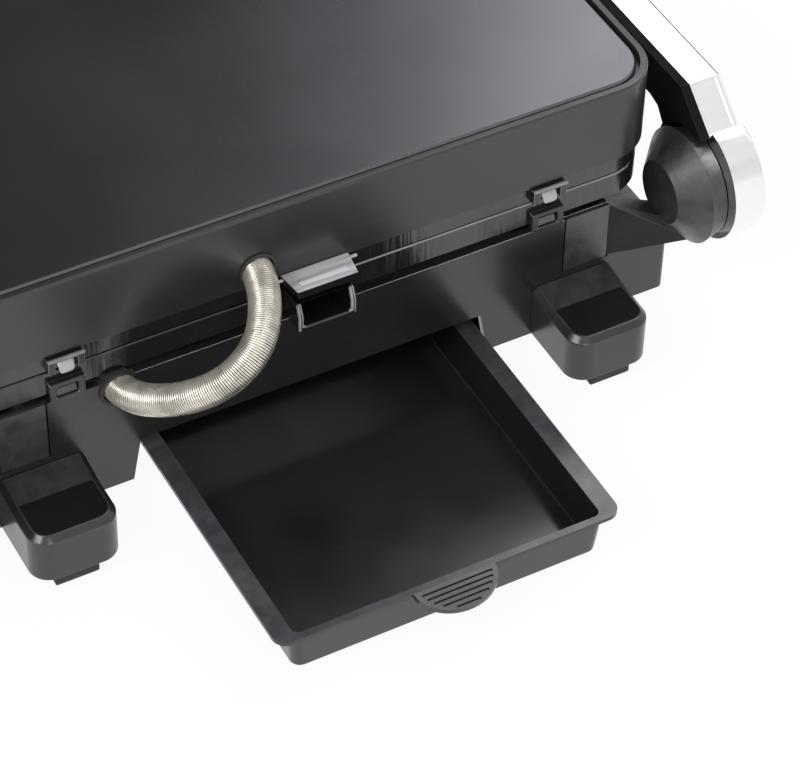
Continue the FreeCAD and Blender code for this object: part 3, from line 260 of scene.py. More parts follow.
class GrillSettings(bpy.types.PropertyGroup):
    """All that a user may change."""
    finish: bpy.props.PointerProperty(type=FinishSettings, name="Finishes", description="Colours and gloss")
    edge: bpy.props.PointerProperty(type=EdgeSettings, name="Edges", description="Rounding of edges")
    lead: bpy.props.PointerProperty(type=LeadSettings, name="Lead", description="Sizes of the wound lead")
    stage: bpy.props.PointerProperty(type=StageSettings, name="Stage", description="Camera, lights and floor")


def settings():
    return bpy.context.scene.grill


# Finishes

def added(tree, kind, values=None):
    """A new shader node of this kind, with values for some of its inputs."""
    node = tree.nodes.new("ShaderNode" + kind)
    for name, value in (values or {}).items():
        node.inputs[name].default_value = value
    return node


def linked(tree, *links):
    """Links nodes, each link given as a node, its output, another node and its input."""
    for source, output, target, name in links:
        tree.links.new(source.outputs[output], target.inputs[name])


def opaque(colour):
    return tuple(colour[:3]) + (1.0,)


def shifted(colour, share):
    """The colour made paler or darker."""
    return opaque([min(1.0, part * share) for part in colour[:3]])


class Finish:
    """A material that is put together from a few patterns on the piece's own place."""

    def __init__(self, name, colour, roughness, metallic=0.0):
        self.material = bpy.data.materials.new(name)
        self.material.use_nodes = True
        self.material.diffuse_color = opaque(colour)
        self.tree = self.material.node_tree
        self.tree.nodes.clear()
        self.colour = colour
        self.shader = added(self.tree, "BsdfPrincipled", {
            "Base Color": opaque(colour), "Roughness": roughness, "Metallic": metallic,
            "Specular IOR Level": 0.72 if metallic == 0.0 else 0.5})
        linked(self.tree, (self.shader, "BSDF", added(self.tree, "OutputMaterial"), "Surface"))
        self.place = added(self.tree, "TexCoord")
        self.last_bump = None
        self.last_colour = None

    def pattern(self, scale, stretch=(1.0, 1.0, 1.0), turn=(0.0, 0.0, 0.0), detail=3.0):
        """A soft noise on the piece, stretched along an axis where the real finish is drawn out."""
        mapping = added(self.tree, "Mapping", {"Scale": stretch, "Rotation": turn})
        noise = added(self.tree, "TexNoise", {"Scale": scale, "Detail": detail})
        linked(self.tree, (self.place, "Object", mapping, "Vector"), (mapping, "Vector", noise, "Vector"))
        return noise.outputs["Fac"]

    def ranged(self, value, low, high, new_low=0.0, new_high=1.0):
        """The values between low and high, spread from new_low to new_high."""
        spread = added(self.tree, "MapRange", {
            "From Min": low, "From Max": high, "To Min": new_low, "To Max": new_high})
        self.tree.links.new(value, spread.inputs["Value"])
        return spread.outputs["Result"]

    def tint(self, mask, colour):
        """Lays a second colour over the first where the mask is high."""
        mix = added(self.tree, "Mix")
        mix.data_type = "RGBA"
        self.tree.links.new(mask, mix.inputs["Factor"])
        if self.last_colour is None:
            mix.inputs["A"].default_value = opaque(self.colour)
        else:
            self.tree.links.new(self.last_colour, mix.inputs["A"])
        mix.inputs["B"].default_value = colour
        self.last_colour = mix.outputs["Result"]
        self.tree.links.new(self.last_colour, self.shader.inputs["Base Color"])

    def mottle(self, scale=30.0, share=0.16, stretch=(1.0, 1.0, 1.0)):
        """The slight unevenness of colour that every real surface has."""
        mask = self.ranged(self.pattern(scale, stretch), 0.36, 0.64)
        self.tint(mask, shifted(self.colour, 1.0 + share))

    def gloss(self, low, high, scale=22.0, stretch=(1.0, 1.0, 1.0), detail=3.0):
        """Roughness that varies a little, as handling and moulding leave it."""
        mask = self.pattern(scale, stretch, detail=detail)
        self.tree.links.new(self.ranged(mask, 0.35, 0.65, low, high), self.shader.inputs["Roughness"])

    def relief(self, scale, height, strength=1.0, stretch=(1.0, 1.0, 1.0)):
        """Fine relief, its height in metres."""
        bump = added(self.tree, "Bump", {"Distance": height, "Strength": strength})
        self.tree.links.new(self.pattern(scale, stretch, detail=2.0), bump.inputs["Height"])
        if self.last_bump is not None:
            linked(self.tree, (self.last_bump, "Normal", bump, "Normal"))
        self.last_bump = bump
        linked(self.tree, (bump, "Normal", self.shader, "Normal"))

    def scuffs(self, colour, stretch=(30.0, 900.0, 900.0), turn=(0.0, 0.0, 0.3), low=0.70, high=0.78):
        """A few fine scratches, drawn out along one direction."""
        mask = self.ranged(self.pattern(1.0, stretch, turn, detail=1.0), low, high, 0.0, 0.55)
        self.tint(mask, colour)


def moulded(name, colour, roughness, grain=1500.0, height=0.00003):
    """Moulded plastic with a fine spark-eroded grain and a slightly wavy skin."""
    finish = Finish(name, colour, roughness)
    finish.mottle(26.0, 0.22)
    finish.gloss(roughness - 0.05, roughness + 0.05)
    finish.relief(grain, height, 0.35)
    finish.relief(28.0, 0.0003, 0.05)
    finish.scuffs(shifted(colour, 1.9))
    return finish.material


def worn_and_highlit_edge(name, colour, roughness):
    """The same plastic along an edge: smoother where it has been rubbed, and paler, partly as rubbed wear and
    partly as a painted highlight.
    """
    finish = Finish(name, shifted(colour, 1.9), roughness * 0.8)
    finish.mottle(160.0, 0.5)
    finish.gloss(roughness * 0.65, roughness, 120.0)
    finish.relief(900.0, 0.00003, 0.3)
    return finish.material


def coated(name, colour, roughness):
    """Sprayed non-stick coating, with runs down the skirt."""
    finish = Finish(name, colour, roughness)
    finish.shader.inputs["Coat Weight"].default_value = 0.35
    finish.shader.inputs["Coat Roughness"].default_value = 0.12
    finish.mottle(60.0, 0.6, (1.0, 1.0, 0.3))
    finish.gloss(roughness - 0.06, roughness + 0.12, 180.0, (1.0, 1.0, 0.12))
    finish.relief(420.0, 0.0005, 0.55, (1.0, 1.0, 0.06))
    finish.relief(1400.0, 0.00006, 0.4)
    return finish.material


def painted_highlight_gloss(name, colour, roughness):
    """A smooth lip or seam whose pale colour is a painted highlight."""
    finish = Finish(name, colour, roughness)
    finish.mottle(60.0, 0.3)
    finish.gloss(roughness - 0.04, roughness + 0.08, 90.0)
    finish.relief(140.0, 0.0002, 0.12)
    return finish.material


def polished(name, colour, roughness):
    """Polished aluminium with a faint haze and a slightly wavy skin."""
    finish = Finish(name, colour, roughness, 1.0)
    finish.mottle(40.0, 0.04)
    finish.gloss(roughness - 0.03, roughness + 0.05, 35.0)
    finish.relief(30.0, 0.0002, 0.05)
    return finish.material


def brushed(name, colour, roughness, stretch=(0.04, 1.0, 1.0), metallic=1.0, streaks=0.14):
    """Metal brushed along one direction; strong streaks are also narrow ones."""
    finish = Finish(name, colour, roughness, metallic)
    finish.mottle(70.0 if streaks < 0.3 else 420.0, streaks, stretch)
    finish.gloss(roughness - 0.07, roughness + 0.12, 600.0, stretch)
    finish.relief(2200.0, 0.00004, 0.5, stretch)
    return finish.material


def rubbery(name, colour, roughness):
    """Soft-touch plastic, cloudy where it has been handled."""
    finish = Finish(name, colour, roughness)
    finish.shader.inputs["Specular IOR Level"].default_value = 1.0
    finish.mottle(120.0, 0.55)
    finish.tint(finish.ranged(finish.pattern(420.0, detail=5.0), 0.55, 0.75, 0.0, 0.5), shifted(colour, 2.2))
    finish.gloss(roughness - 0.08, roughness + 0.10, 160.0, detail=5.0)
    finish.relief(900.0, 0.00008, 0.5)
    finish.relief(180.0, 0.0001, 0.25)
    return finish.material


def matt(name, colour, sheen):
    """Black plastic that hardly shines."""
    finish = Finish(name, colour, 0.5)
    finish.shader.inputs["Specular IOR Level"].default_value = sheen
    finish.mottle(40.0, 0.4)
    finish.gloss(0.42, 0.56, 60.0)
    finish.relief(1500.0, 0.00004, 0.4)
    return finish.material


def elastic(name, colour, roughness=0.75):
    """Matt rubber."""
    finish = Finish(name, colour, roughness)
    finish.mottle(80.0, 0.3)
    finish.gloss(roughness - 0.1, roughness + 0.1, 60.0)
    finish.relief(2600.0, 0.00006, 0.6)
    return finish.material


def satin_panel(name, colour):
    """Satin metallic finish of the lid's panel, with fine wiping marks."""
    finish = Finish(name, colour, 0.28, 0.98)
    finish.mottle(14.0, 0.10)
    finish.gloss(0.25, 0.31, 9.0)
    finish.relief(2400.0, 0.00002, 0.5)
    finish.scuffs(shifted(colour, 1.2), (700.0, 25.0, 700.0), (0.0, 0.0, 0.9), 0.74, 0.82)
    return finish.material


def wound_wire(name, colour):
    """Steel wire with dull patches."""
    finish = Finish(name, colour, 0.28, 0.80)
    finish.mottle(240.0, 0.18)
    finish.tint(finish.ranged(finish.pattern(85.0, detail=2.0), 0.50, 0.64, 0.0, 0.55), shifted(colour, 0.5))
    finish.gloss(0.24, 0.36, 200.0)
    finish.relief(3000.0, 0.00003, 0.4)
    return finish.material


def lamp_lens(name, colour):
    """Clear coloured plastic."""
    finish = Finish(name, colour, 0.12)
    finish.shader.inputs["Transmission Weight"].default_value = 0.35
    finish.mottle(300.0, 0.3)
    finish.relief(1200.0, 0.00005, 0.4)
    return finish.material


def printed(name, colour):
    """Paint of the marks on the front."""
    finish = Finish(name, colour, 0.4)
    finish.mottle(500.0, 0.08)
    finish.relief(2500.0, 0.00003, 0.3)
    return finish.material


def made_finishes():
    """All the finishes, by the name that the operators use."""
    look = settings().finish
    gloss = look.moulding_gloss
    return {
        "lid_plastic": moulded("lid satin grey", look.lid_colour, gloss + 0.05, 1900.0, 0.00002),
        # The paler edge finishes: partly rubbed wear, partly painted highlight.
        "lid_edge": worn_and_highlit_edge("lid rubbed edge and painted highlight", look.lid_colour, gloss + 0.05),
        "base_plastic": moulded("base black plastic", look.base_colour, gloss),
        "base_edge": worn_and_highlit_edge("base rubbed edge and painted highlight", look.base_colour, gloss),
        "hub_plastic": rubbery("hub rubbery black", (0.019, 0.0195, 0.021), 0.36),
        "hub_edge": worn_and_highlit_edge("hub rubbed edge and painted highlight", (0.026, 0.027, 0.029), 0.40),
        # Also the painted shade on the feet's flat tops.
        "liner_plastic": matt("liner matt black and foot painted shade", shifted(look.base_colour, 0.6), 0.06),
        "tray_plastic": moulded("tray satin grey", look.tray_colour, gloss - 0.05, 1700.0, 0.00002),
        # The tray's paler rim and edges: painted highlight, with some rubbed wear.
        "tray_edge": worn_and_highlit_edge("tray rubbed edge and painted highlight", shifted(look.tray_colour, 2.0), gloss - 0.03),
        "coating": coated("plate coating", look.coating_colour, look.coating_gloss),
        # Painted glint on the mouths of the spout's side walls.
        "spout_lip": painted_highlight_gloss("spout lip painted glint", (0.24, 0.24, 0.245), 0.12),
        # Painted shade on the hub's web: darker and duller.
        "web_shade_plastic": matt("hub web painted shade", shifted(look.base_colour, 0.9), 0.20),
        # Painted highlights along the rear seams.
        "seam_painted_highlight": painted_highlight_gloss("seam painted highlight", (0.72, 0.72, 0.73), 0.16),
        "seam_painted_sheen": painted_highlight_gloss("seam painted sheen", (0.20, 0.20, 0.205), 0.16),
        # Painted sheen on the clip lips and on the clips' and sockets' edges.
        "clip_lip": painted_highlight_gloss("clip lip painted sheen", (0.17, 0.17, 0.175), 0.22),
        # Paler coating edges: partly worn coating, partly painted highlight.
        "coating_edge": coated("plate coating edge and painted highlight", shifted(look.coating_colour, 2.2), 0.22),
        "aluminium": polished("polished aluminium", look.aluminium_colour, 0.13),
        # Darker edges on the polished aluminium: painted shade.
        "aluminium_edge": polished("aluminium edge painted shade", (0.74, 0.74, 0.75), 0.20),
        "hood_metal": brushed("hood satin aluminium", (0.40, 0.41, 0.425), 0.40, metallic=0.30, streaks=0.7),
        # Painted highlight on the hood's edges and ridge top.
        "hood_edge_highlight": brushed("hood edge painted highlight", (0.78, 0.78, 0.79), 0.34, metallic=0.3),
        # Painted shade: the springs in the sockets' recesses are made dark.
        "socket_steel": brushed("spring steel painted dark as shade", (0.10, 0.10, 0.105), 0.26),
        "steel": brushed("bright steel", (0.60, 0.60, 0.61), 0.26),
        "tongue_steel": brushed("clip tongue steel", (0.40, 0.40, 0.41), 0.34, metallic=0.6),
        "shade_steel": brushed("inner sheet steel", (0.30, 0.30, 0.31), 0.38, (1.0, 0.05, 1.0)),
        "rubber": elastic("black rubber", (0.018, 0.018, 0.019)),
        "grip_plastic": elastic("soft black grip", (0.016, 0.016, 0.017), 0.55),
        "panel": satin_panel("lid panel satin grey", look.panel_colour),
        "wire": wound_wire("wound steel wire", look.wire_colour),
        "lamp": lamp_lens("red lamp lens", (0.42, 0.015, 0.01)),
        "mark": printed("white mark", (0.78, 0.78, 0.77)),
    }


FINISHES = {}


def finish(name):
    if not FINISHES:
        FINISHES.update(made_finishes())
    return FINISHES[name]


# Shaping

def only(piece):
    """Selects this piece and nothing else, and makes it the active one."""
    bpy.ops.object.select_all(action="DESELECT")
    piece.select_set(True)
    bpy.context.view_layer.objects.active = piece


@contextmanager
def editing():
    """Edit mode for the operators that are called inside it."""
    bpy.ops.object.mode_set(mode="EDIT")
    yield
    bpy.ops.object.mode_set(mode="OBJECT")


def picked(piece, face):
    """Selects one face of the piece for Edit mode."""
    for part in (*piece.data.polygons, *piece.data.edges, *piece.data.vertices):
        part.select = False
    face.select = True


def smoothed(angle):
    """Shades the selected piece smoothly, apart from edges sharper than this many degrees."""
    bpy.ops.object.shade_smooth_by_angle(angle=math.radians(angle))


def modified(piece, name, kind, **values):
    """Gives the active piece a modifier with these values and applies it."""
    modifier = piece.modifiers.new(name, kind)
    for key, value in values.items():
        setattr(modifier, key, value)
    bpy.ops.object.modifier_apply(modifier=modifier.name)


def evened(piece):
    """Shades the piece smoothly over its rounded edges, and keeps its large faces flat."""
    only(piece)
    smoothed(SMOOTH_ANGLE)
    modified(piece, "Even shading", "WEIGHTED_NORMAL", keep_sharp=True)


def creased(piece):
    """Keeps the long edges across the piece crisp where two flat faces meet."""
    only(piece)
    bpy.ops.mesh.customdata_custom_splitnormals_clear()
    for edge in piece.data.edges:
        start, end = [piece.data.vertices[index].co for index in edge.vertices]
        along = end - start
        if along.length > SHORTEST_CREASE and abs(along.normalized().x) > 0.99:
            edge.use_edge_sharp = True
    evened(piece)


def rounded(piece, width, segments, angle, edge_slot):
    """Rounds the sharp edges and shades the piece."""
    only(piece)
    modified(piece, "Edges", "BEVEL", width=width, segments=segments, limit_method="ANGLE",
             angle_limit=math.radians(angle), miter_outer="MITER_ARC", material=edge_slot)
    evened(piece)


def dressed(piece, body, nodes, slot, *finishes):
    """Gives a finished piece its materials and its body, and hides the nodes that it stands for."""
    piece.data.materials.clear()
    for name in finishes:
        piece.data.materials.append(finish(name))
    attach(piece, body)
    if nodes:
        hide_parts(*nodes)


def painted(node, name):
    """A better material on a solid whose shape is right."""
    solid = frame["nodes"][node]
    solid.data.materials.clear()
    solid.data.materials.append(finish(name))


def repainted(piece, slot_index, wanted):
    """Gives the faces for which wanted(face) holds another of the piece's materials."""
    for face in piece.data.polygons:
        if wanted(face):
            face.material_index = slot_index


def freed_copy(node, name):
    """A copy of a solid's surface with its triangles joined to whole faces."""
    only(frame["nodes"][node])
    bpy.ops.object.duplicate()
    piece = bpy.context.active_object
    bpy.ops.object.parent_clear(type="CLEAR_KEEP_TRANSFORM")
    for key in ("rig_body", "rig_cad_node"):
        if key in piece:
            del piece[key]
    piece.name = name
    piece.data.name = name
    bpy.ops.mesh.customdata_custom_splitnormals_clear()
    with editing():
        bpy.ops.mesh.select_mode(type="VERT")
        bpy.ops.mesh.select_all(action="SELECT")
        bpy.ops.mesh.remove_doubles(threshold=MERGE_GAP)
        bpy.ops.mesh.dissolve_limited(angle_limit=math.radians(FLAT_ANGLE))
    return piece


def softened(node, name, body, width, slot, face_finish, edge_finish=None, segments=2, angle=ROUNDED_ANGLE):
    """A solid's surface with rounded edges, which take the edge finish where one is given, in place of the
    solid.
    """
    piece = freed_copy(node, name)
    dressed(piece, body, [node], slot, *([face_finish, edge_finish] if edge_finish else [face_finish]))
    rounded(piece, width, segments, angle, 1 if edge_finish else 0)
    return piece


def painted_seam_highlight(piece, lowest, highlight_finish):
    """Paints a highlight on the rounded upper edge of the piece's rear, on the side away from the lead."""
    rear = max(face.center.y for face in piece.data.polygons) - SEAM_DEPTH
    piece.data.materials.append(finish(highlight_finish))
    repainted(piece, 2, lambda face: 0.25 < face.normal.z < 0.97 and face.normal.y > 0.2
              and face.center.y > rear and face.center.z > lowest and face.center.x < SEAM_END)


def rounded_bar(size, place, edge, segments):
    """A small bar with rounded edges."""
    bpy.ops.object.select_all(action="DESELECT")
    bpy.ops.mesh.primitive_cube_add(size=1.0, location=place)
    bar = bpy.context.active_object
    bar.scale = size
    bpy.ops.object.transform_apply(location=True, rotation=True, scale=True)
    with editing():
        bpy.ops.mesh.select_all(action="SELECT")
        bpy.ops.mesh.bevel(offset=edge, segments=segments, affect="EDGES")
    return bar


def placed_copies(model, places, name):
    """Copies of one piece at several places, each (place, turn matrix), joined to one piece at the origin."""
    copies = []
    for place, turn in places:
        copy = model.copy()
        copy.data = model.data.copy()
        bpy.context.scene.collection.objects.link(copy)
        copy.data.transform(Matrix.Translation(place) @ turn.to_4x4())
        copies.append(copy)
    only(copies[0])
    for copy in copies:
        copy.select_set(True)
    bpy.ops.object.join()
    joined = bpy.context.active_object
    joined.name = name
    joined.data.name = name
    return joined


class GRILL_OT_lid(bpy.types.Operator):
    """Dresses the lid: the shell, the panel let into it and the bosses at its sides"""
    bl_idname = "grill.lid"
    bl_label = "Lid"

    def execute(self, context):
        edge = settings().edge
        softened("lid_shell", "lid_moulding", "lid", edge.moulding_edge, "lid_shell", "lid_plastic",
                 "lid_edge")
        softened("lid_top_panel", "lid_inset_panel", "lid", edge.sheet_edge, "lid_panel", "panel", "lid_edge")
        softened("lid_pivot_bosses", "lid_side_bosses", "lid", edge.moulding_edge, *BLACK)
        painted("lid_grommet", "rubber")
        return {"FINISHED"}


def narrow_ridge(hood):
    """Draws the hood's ridge in to a slim bar; gives the roof's place, its normal and the ridge's height."""
    roof = max(hood.data.polygons, key=lambda face: face.area if face.normal.z > 0.3 else 0.0)
    facing = roof.normal.copy()
    level = roof.center.copy()
    above = {face.index: (face.center - level).dot(facing) for face in hood.data.polygons
             if face.normal.dot(facing) > 0.99}
    top = hood.data.polygons[max(above, key=above.get)]
    height = above[top.index]
    middle = top.center.copy()
    only(hood)
    picked(hood, top)
    with editing():
        bpy.ops.mesh.select_mode(type="FACE")
        bpy.ops.transform.resize(value=(RIDGE_LENGTH_SHARE, RIDGE_WIDTH_SHARE, RIDGE_WIDTH_SHARE),
                                 center_override=middle)
    return level, facing, height


class GRILL_OT_plates(bpy.types.Operator):
    """Dresses both grill plates with their spout, hood, clips and sockets"""
    bl_idname = "grill.plates"
    bl_label = "Grill plates"

    def execute(self, context):
        edge = settings().edge
        lower = softened("lower_plate", "lower_plate_casting", "base", edge.casting_edge, *COATED)
        # A painted highlight along the lower plate's rear seam.
        painted_seam_highlight(lower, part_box("upper_plate")[0].z - PLATE_SEAM_DROP, "seam_painted_sheen")
        softened("upper_plate", "upper_plate_casting", "lid", edge.casting_edge, *COATED)
        spout = softened("lower_spout", "spout_channel", "base", SPOUT_EDGE, "black_plastic", "coating",
                         "spout_lip", 4)
        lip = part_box("lower_spout")[1].y - SPOUT_LIP
        # Only the mouth ends of the side walls keep the painted glint; the other faces go back to the
        # coating.
        repainted(spout, 0, lambda face: abs(face.normal.x) < 0.2 or face.center.y < lip)
        hood = freed_copy("upper_spout_hood", "spout_hood")
        level, facing, height = narrow_ridge(hood)
        dressed(hood, "lid", ["upper_spout_hood"], "hood_aluminium", "hood_metal", "hood_edge_highlight", "coating")
        rounded(hood, HOOD_EDGE, 3, ROUNDED_ANGLE, 1)
        # The ridge's top takes the paler edge finish as a painted highlight.
        repainted(hood, 1, lambda face: (face.center - level).dot(facing) > RIDGE_TOP_SHARE * height)
        repainted(hood, 2, lambda face: face.normal.dot(facing) < 0.5
                  and (face.center - level).dot(facing) < -HOOD_WALL_DROP)
        # The clips' and sockets' rounded edges take the painted sheen.
        softened("upper_clips", "plate_clips", "lid", edge.sheet_edge, *CLIP_BLACK)
        softened("lower_sockets", "clip_sockets", "base", edge.sheet_edge, *CLIP_BLACK)
        # The springs are painted dark, as painted shade in the sockets' recesses.
        softened("socket_springs", "socket_sheet_springs", "base", edge.sheet_edge, "steel", "socket_steel",
                 "socket_steel")
        return {"FINISHED"}


def clip_tongue(middle, foot):
    """The sprung tongue of one clip: a strip extruded along its bends and given its sheet's thickness."""
    bpy.ops.object.select_all(action="DESELECT")
    out, up = TONGUE_BENDS[0]
    bpy.ops.mesh.primitive_plane_add(size=1.0, location=(middle, REAR_WALL + out * MM, foot + up * MM))
    strip = bpy.context.active_object
    strip.scale = (2.0 * TONGUE_HALF, 0.02 * MM, 1.0)
    bpy.ops.object.transform_apply(location=True, rotation=True, scale=True)
    with editing():
        bpy.ops.mesh.select_mode(type="EDGE")
        bpy.ops.mesh.select_all(action="DESELECT")
    rear = max(vertex.co.y for vertex in strip.data.vertices) - 0.001 * MM
    for edge in strip.data.edges:
        edge.select = all(strip.data.vertices[index].co.y > rear for index in edge.vertices)
    with editing():
        for before, after, taper in zip(TONGUE_BENDS, TONGUE_BENDS[1:], TONGUE_TAPERS):
            move = (0.0, (after[0] - before[0]) * MM, (after[1] - before[1]) * MM)
            bpy.ops.mesh.extrude_region_move(TRANSFORM_OT_translate={"value": move})
            bpy.ops.transform.resize(value=(taper, 1.0, 1.0))
        bpy.ops.mesh.select_all(action="SELECT")
        bpy.ops.mesh.normals_make_consistent(inside=False)
    modified(strip, "Sheet", "SOLIDIFY", thickness=TONGUE_SHEET, offset=-1.0)
    modified(strip, "Bends", "SUBSURF", levels=2, render_levels=2)
    smoothed(50.0)
    return strip


def at_both_clips(model, middle, name, nodes, slot, paint):
    """What was modelled at one clip, there and at the other clip, as one piece."""
    upright = Matrix.Identity(3)
    places = [(Vector((0.0, 0.0, 0.0)), upright), (Vector((-2.0 * middle, 0.0, 0.0)), upright)]
    dressed(placed_copies(model, places, name), "lid", nodes, slot, paint)
    bpy.data.objects.remove(model)


class GRILL_OT_clips(bpy.types.Operator):
    """Bends the sprung tongues of the plate clips and rounds the lips over them"""
    bl_idname = "grill.clips"
    bl_label = "Clip tongues"

    def execute(self, context):
        low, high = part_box("upper_clip_tongues")
        middle = high.x - TONGUE_HALF - TONGUE_INSET
        tongue = clip_tongue(middle, low.z)
        at_both_clips(tongue, middle, "clip_tongues", ["upper_clip_tongues"], "steel", "tongue_steel")
        place = (middle, REAR_WALL + LIP_PROUD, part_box("upper_clips")[1].z - LIP_DROP)
        lip = rounded_bar(LIP_SIZE, place, LIP_EDGE, 4)
        smoothed(40.0)
        # The lips take the painted sheen.
        at_both_clips(lip, middle, "clip_lips", [], "black_plastic", "clip_lip")
        return {"FINISHED"}


class GRILL_OT_base(bpy.types.Operator):
    """Dresses the base: housing, cover, hubs, feet, pads and the cord gland"""
    bl_idname = "grill.base"
    bl_label = "Base"

    def execute(self, context):
        edge = settings().edge
        housing = softened("base_housing", "base_moulding", "base", edge.moulding_edge, *BLACK)
        # A painted highlight along the housing's rear seam.
        painted_seam_highlight(housing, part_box("base_housing")[1].z - HOUSING_SEAM_DROP, "seam_painted_highlight")
        softened("base_bottom_cover", "bottom_cover", "base", edge.sheet_edge, *BLACK)
        for side in ("left", "right"):
            hub = softened("hinge_hub_" + side, "hub_cone_" + side, "base", edge.moulding_edge,
                           "black_plastic", "hub_plastic", "hub_edge")
            # The web's rear faces take the darker, duller finish as painted shade.
            hub.data.materials.append(finish("web_shade_plastic"))
            repainted(hub, 2, lambda face: face.normal.y > 0.8 and abs(face.center.x) > GUSSET_ROOT
                      and face.center.z < GUSSET_TOP)
            foot = softened("rear_foot_" + side, "foot_block_" + side, "base", edge.moulding_edge, *BLACK, 3)
            creased(foot)
            foot.data.materials.append(finish("liner_plastic"))
            # The foot's sloped top takes the paler edge finish as a painted highlight.
            repainted(foot, 1, lambda face: face.normal.z > 0.95 and 0.05 < face.normal.y < 0.3)
            # The foot's flat top takes the darker matt finish as painted shade.
            repainted(foot, 2, lambda face: face.normal.z > 0.998)
        for node, name in (("rear_pads", "foot_pads"), ("front_feet", "front_foot_pads"),
                           ("cord_gland", "mains_gland")):
            softened(node, name, "base", edge.moulding_edge, "rubber", "rubber")
        softened("tray_runners", "rim_runners", "base", edge.sheet_edge, "steel", "shade_steel")
        painted("base_grommet", "rubber")
        painted("base_heat_shield", "shade_steel")
        painted("hinge_shafts", "steel")
        return {"FINISHED"}


def sink_facet(piece, facing, margin, depth):
    """Sinks the largest face that looks this way into the piece, with a sloped step around it in the edge
    finish, which on the arm covers is painted shade.
    """
    only(piece)
    bpy.ops.mesh.customdata_custom_splitnormals_clear()
    facets = [face for face in piece.data.polygons if face.normal.dot(facing) > 0.995]
    if not facets:
        raise RuntimeError("no such facet on " + piece.name)
    picked(piece, max(facets, key=lambda face: face.area))
    with editing():
        bpy.ops.mesh.select_mode(type="FACE")
        bpy.ops.mesh.inset(thickness=margin)
        bpy.ops.mesh.inset(thickness=depth * 1.2, depth=-depth)
        bpy.ops.mesh.select_more()
        piece.active_material_index = 1
        bpy.ops.object.material_slot_assign()
        bpy.ops.mesh.select_less()
        piece.active_material_index = 0
        bpy.ops.object.material_slot_assign()
    evened(piece)


class GRILL_OT_arms(bpy.types.Operator):
    """Dresses the arms: polished covers, black liners, hub caps and the grip"""
    bl_idname = "grill.arms"
    bl_label = "Arms and grip"

    def execute(self, context):
        edge = settings().edge
        for side in ("left", "right"):
            cover = softened("arm_cover_" + side, "arm_shell_" + side, "arms", COVER_EDGE, *POLISHED, 3,
                             COVER_ANGLE)
            sink_facet(cover, FACET_NORMAL, FACET_MARGIN, FACET_DEPTH)
            softened("arm_liner_" + side, "arm_inside_" + side, "arms", LINER_EDGE, "black_plastic",
                     "liner_plastic", "base_edge", 3)
        softened("hinge_caps", "hub_caps", "arms", edge.sheet_edge, *POLISHED)
        softened("grip_sleeve", "grip_handle", "arms", edge.moulding_edge, "grip", "grip_plastic")
        softened("grip_collars", "grip_rings", "arms", edge.moulding_edge, *POLISHED)
        painted("grip_bar", "steel")
        painted("pivot_pins", "steel")
        return {"FINISHED"}


def dial_marks():
    """Short raised dashes around the two knobs, on the front panel's flat face."""
    faces = [face for face in frame["nodes"]["control_panel"].data.polygons if face.normal.y < -0.99]
    front = max(faces, key=lambda face: face.area).center.y
    dash = rounded_bar(DASH_SIZE, (0.0, 0.0, 0.0), DASH_EDGE, 2)
    places = []
    for kind in ("temperature", "timer"):
        low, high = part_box(kind + "_knob")
        reach = (high.z - low.z) / 2.0 + DASH_GAP
        middle = Vector(((low.x + high.x) / 2.0, front - DASH_LIFT, (low.z + high.z) / 2.0))
        for step in range(-DASHES_EACH_WAY, DASHES_EACH_WAY + 1):
            turn = Matrix.Rotation(math.radians(DASH_STEP * step), 3, "Y")
            places.append((middle + turn @ Vector((0.0, 0.0, reach)), turn))
    dressed(placed_copies(dash, places, "dial_dashes"), "base", [], "white_mark", "mark")
    bpy.data.objects.remove(dash)


class GRILL_OT_controls(bpy.types.Operator):
    """Dresses the front: panel, knobs, pointers, lamps and release buttons"""
    bl_idname = "grill.controls"
    bl_label = "Controls"

    def execute(self, context):
        width = settings().edge.moulding_edge
        softened("control_panel", "front_panel", "base", width, *BLACK)
        for kind in ("temperature", "timer"):
            softened(kind + "_knob", kind + "_dial", kind + "_knob", width, *SOFT_GRIP)
            painted(kind + "_pointer", "mark")
            painted(kind + "_control", "base_plastic")
        for place in ("lower", "upper"):
            softened(place + "_release_button", place + "_button_cap", place + "_button", width, *SOFT_GRIP)
        softened("indicator_lamps", "lamp_lenses", "base", width, "lamp", "lamp")
        dial_marks()
        return {"FINISHED"}


class GRILL_OT_tray(bpy.types.Operator):
    """Dresses the grease tray with its rim and ribbed tab"""
    bl_idname = "grill.tray"
    bl_label = "Grease tray"

    def execute(self, context):
        tray = softened("drip_tray", "grease_tray", "tray", settings().edge.moulding_edge, "tray_plastic",
                        "tray_plastic", "tray_edge")
        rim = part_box("drip_tray")[1].z - TRAY_RIM
        # The rim's top takes the paler edge finish as a painted highlight.
        repainted(tray, 1, lambda face: face.normal.z > 0.9 and face.center.z > rim)
        return {"FINISHED"}


class GRILL_OT_inner(bpy.types.Operator):
    """Paints the heaters and what else lies inside the housings"""
    bl_idname = "grill.inner"
    bl_label = "Inner pieces"

    def execute(self, context):
        for place in ("lower", "upper"):
            painted(place + "_heating_element", "steel")
            painted(place + "_reflector_pan", "shade_steel")
            painted(place + "_cutout", "base_plastic")
        painted("terminal_block", "base_plastic")
        return {"FINISHED"}


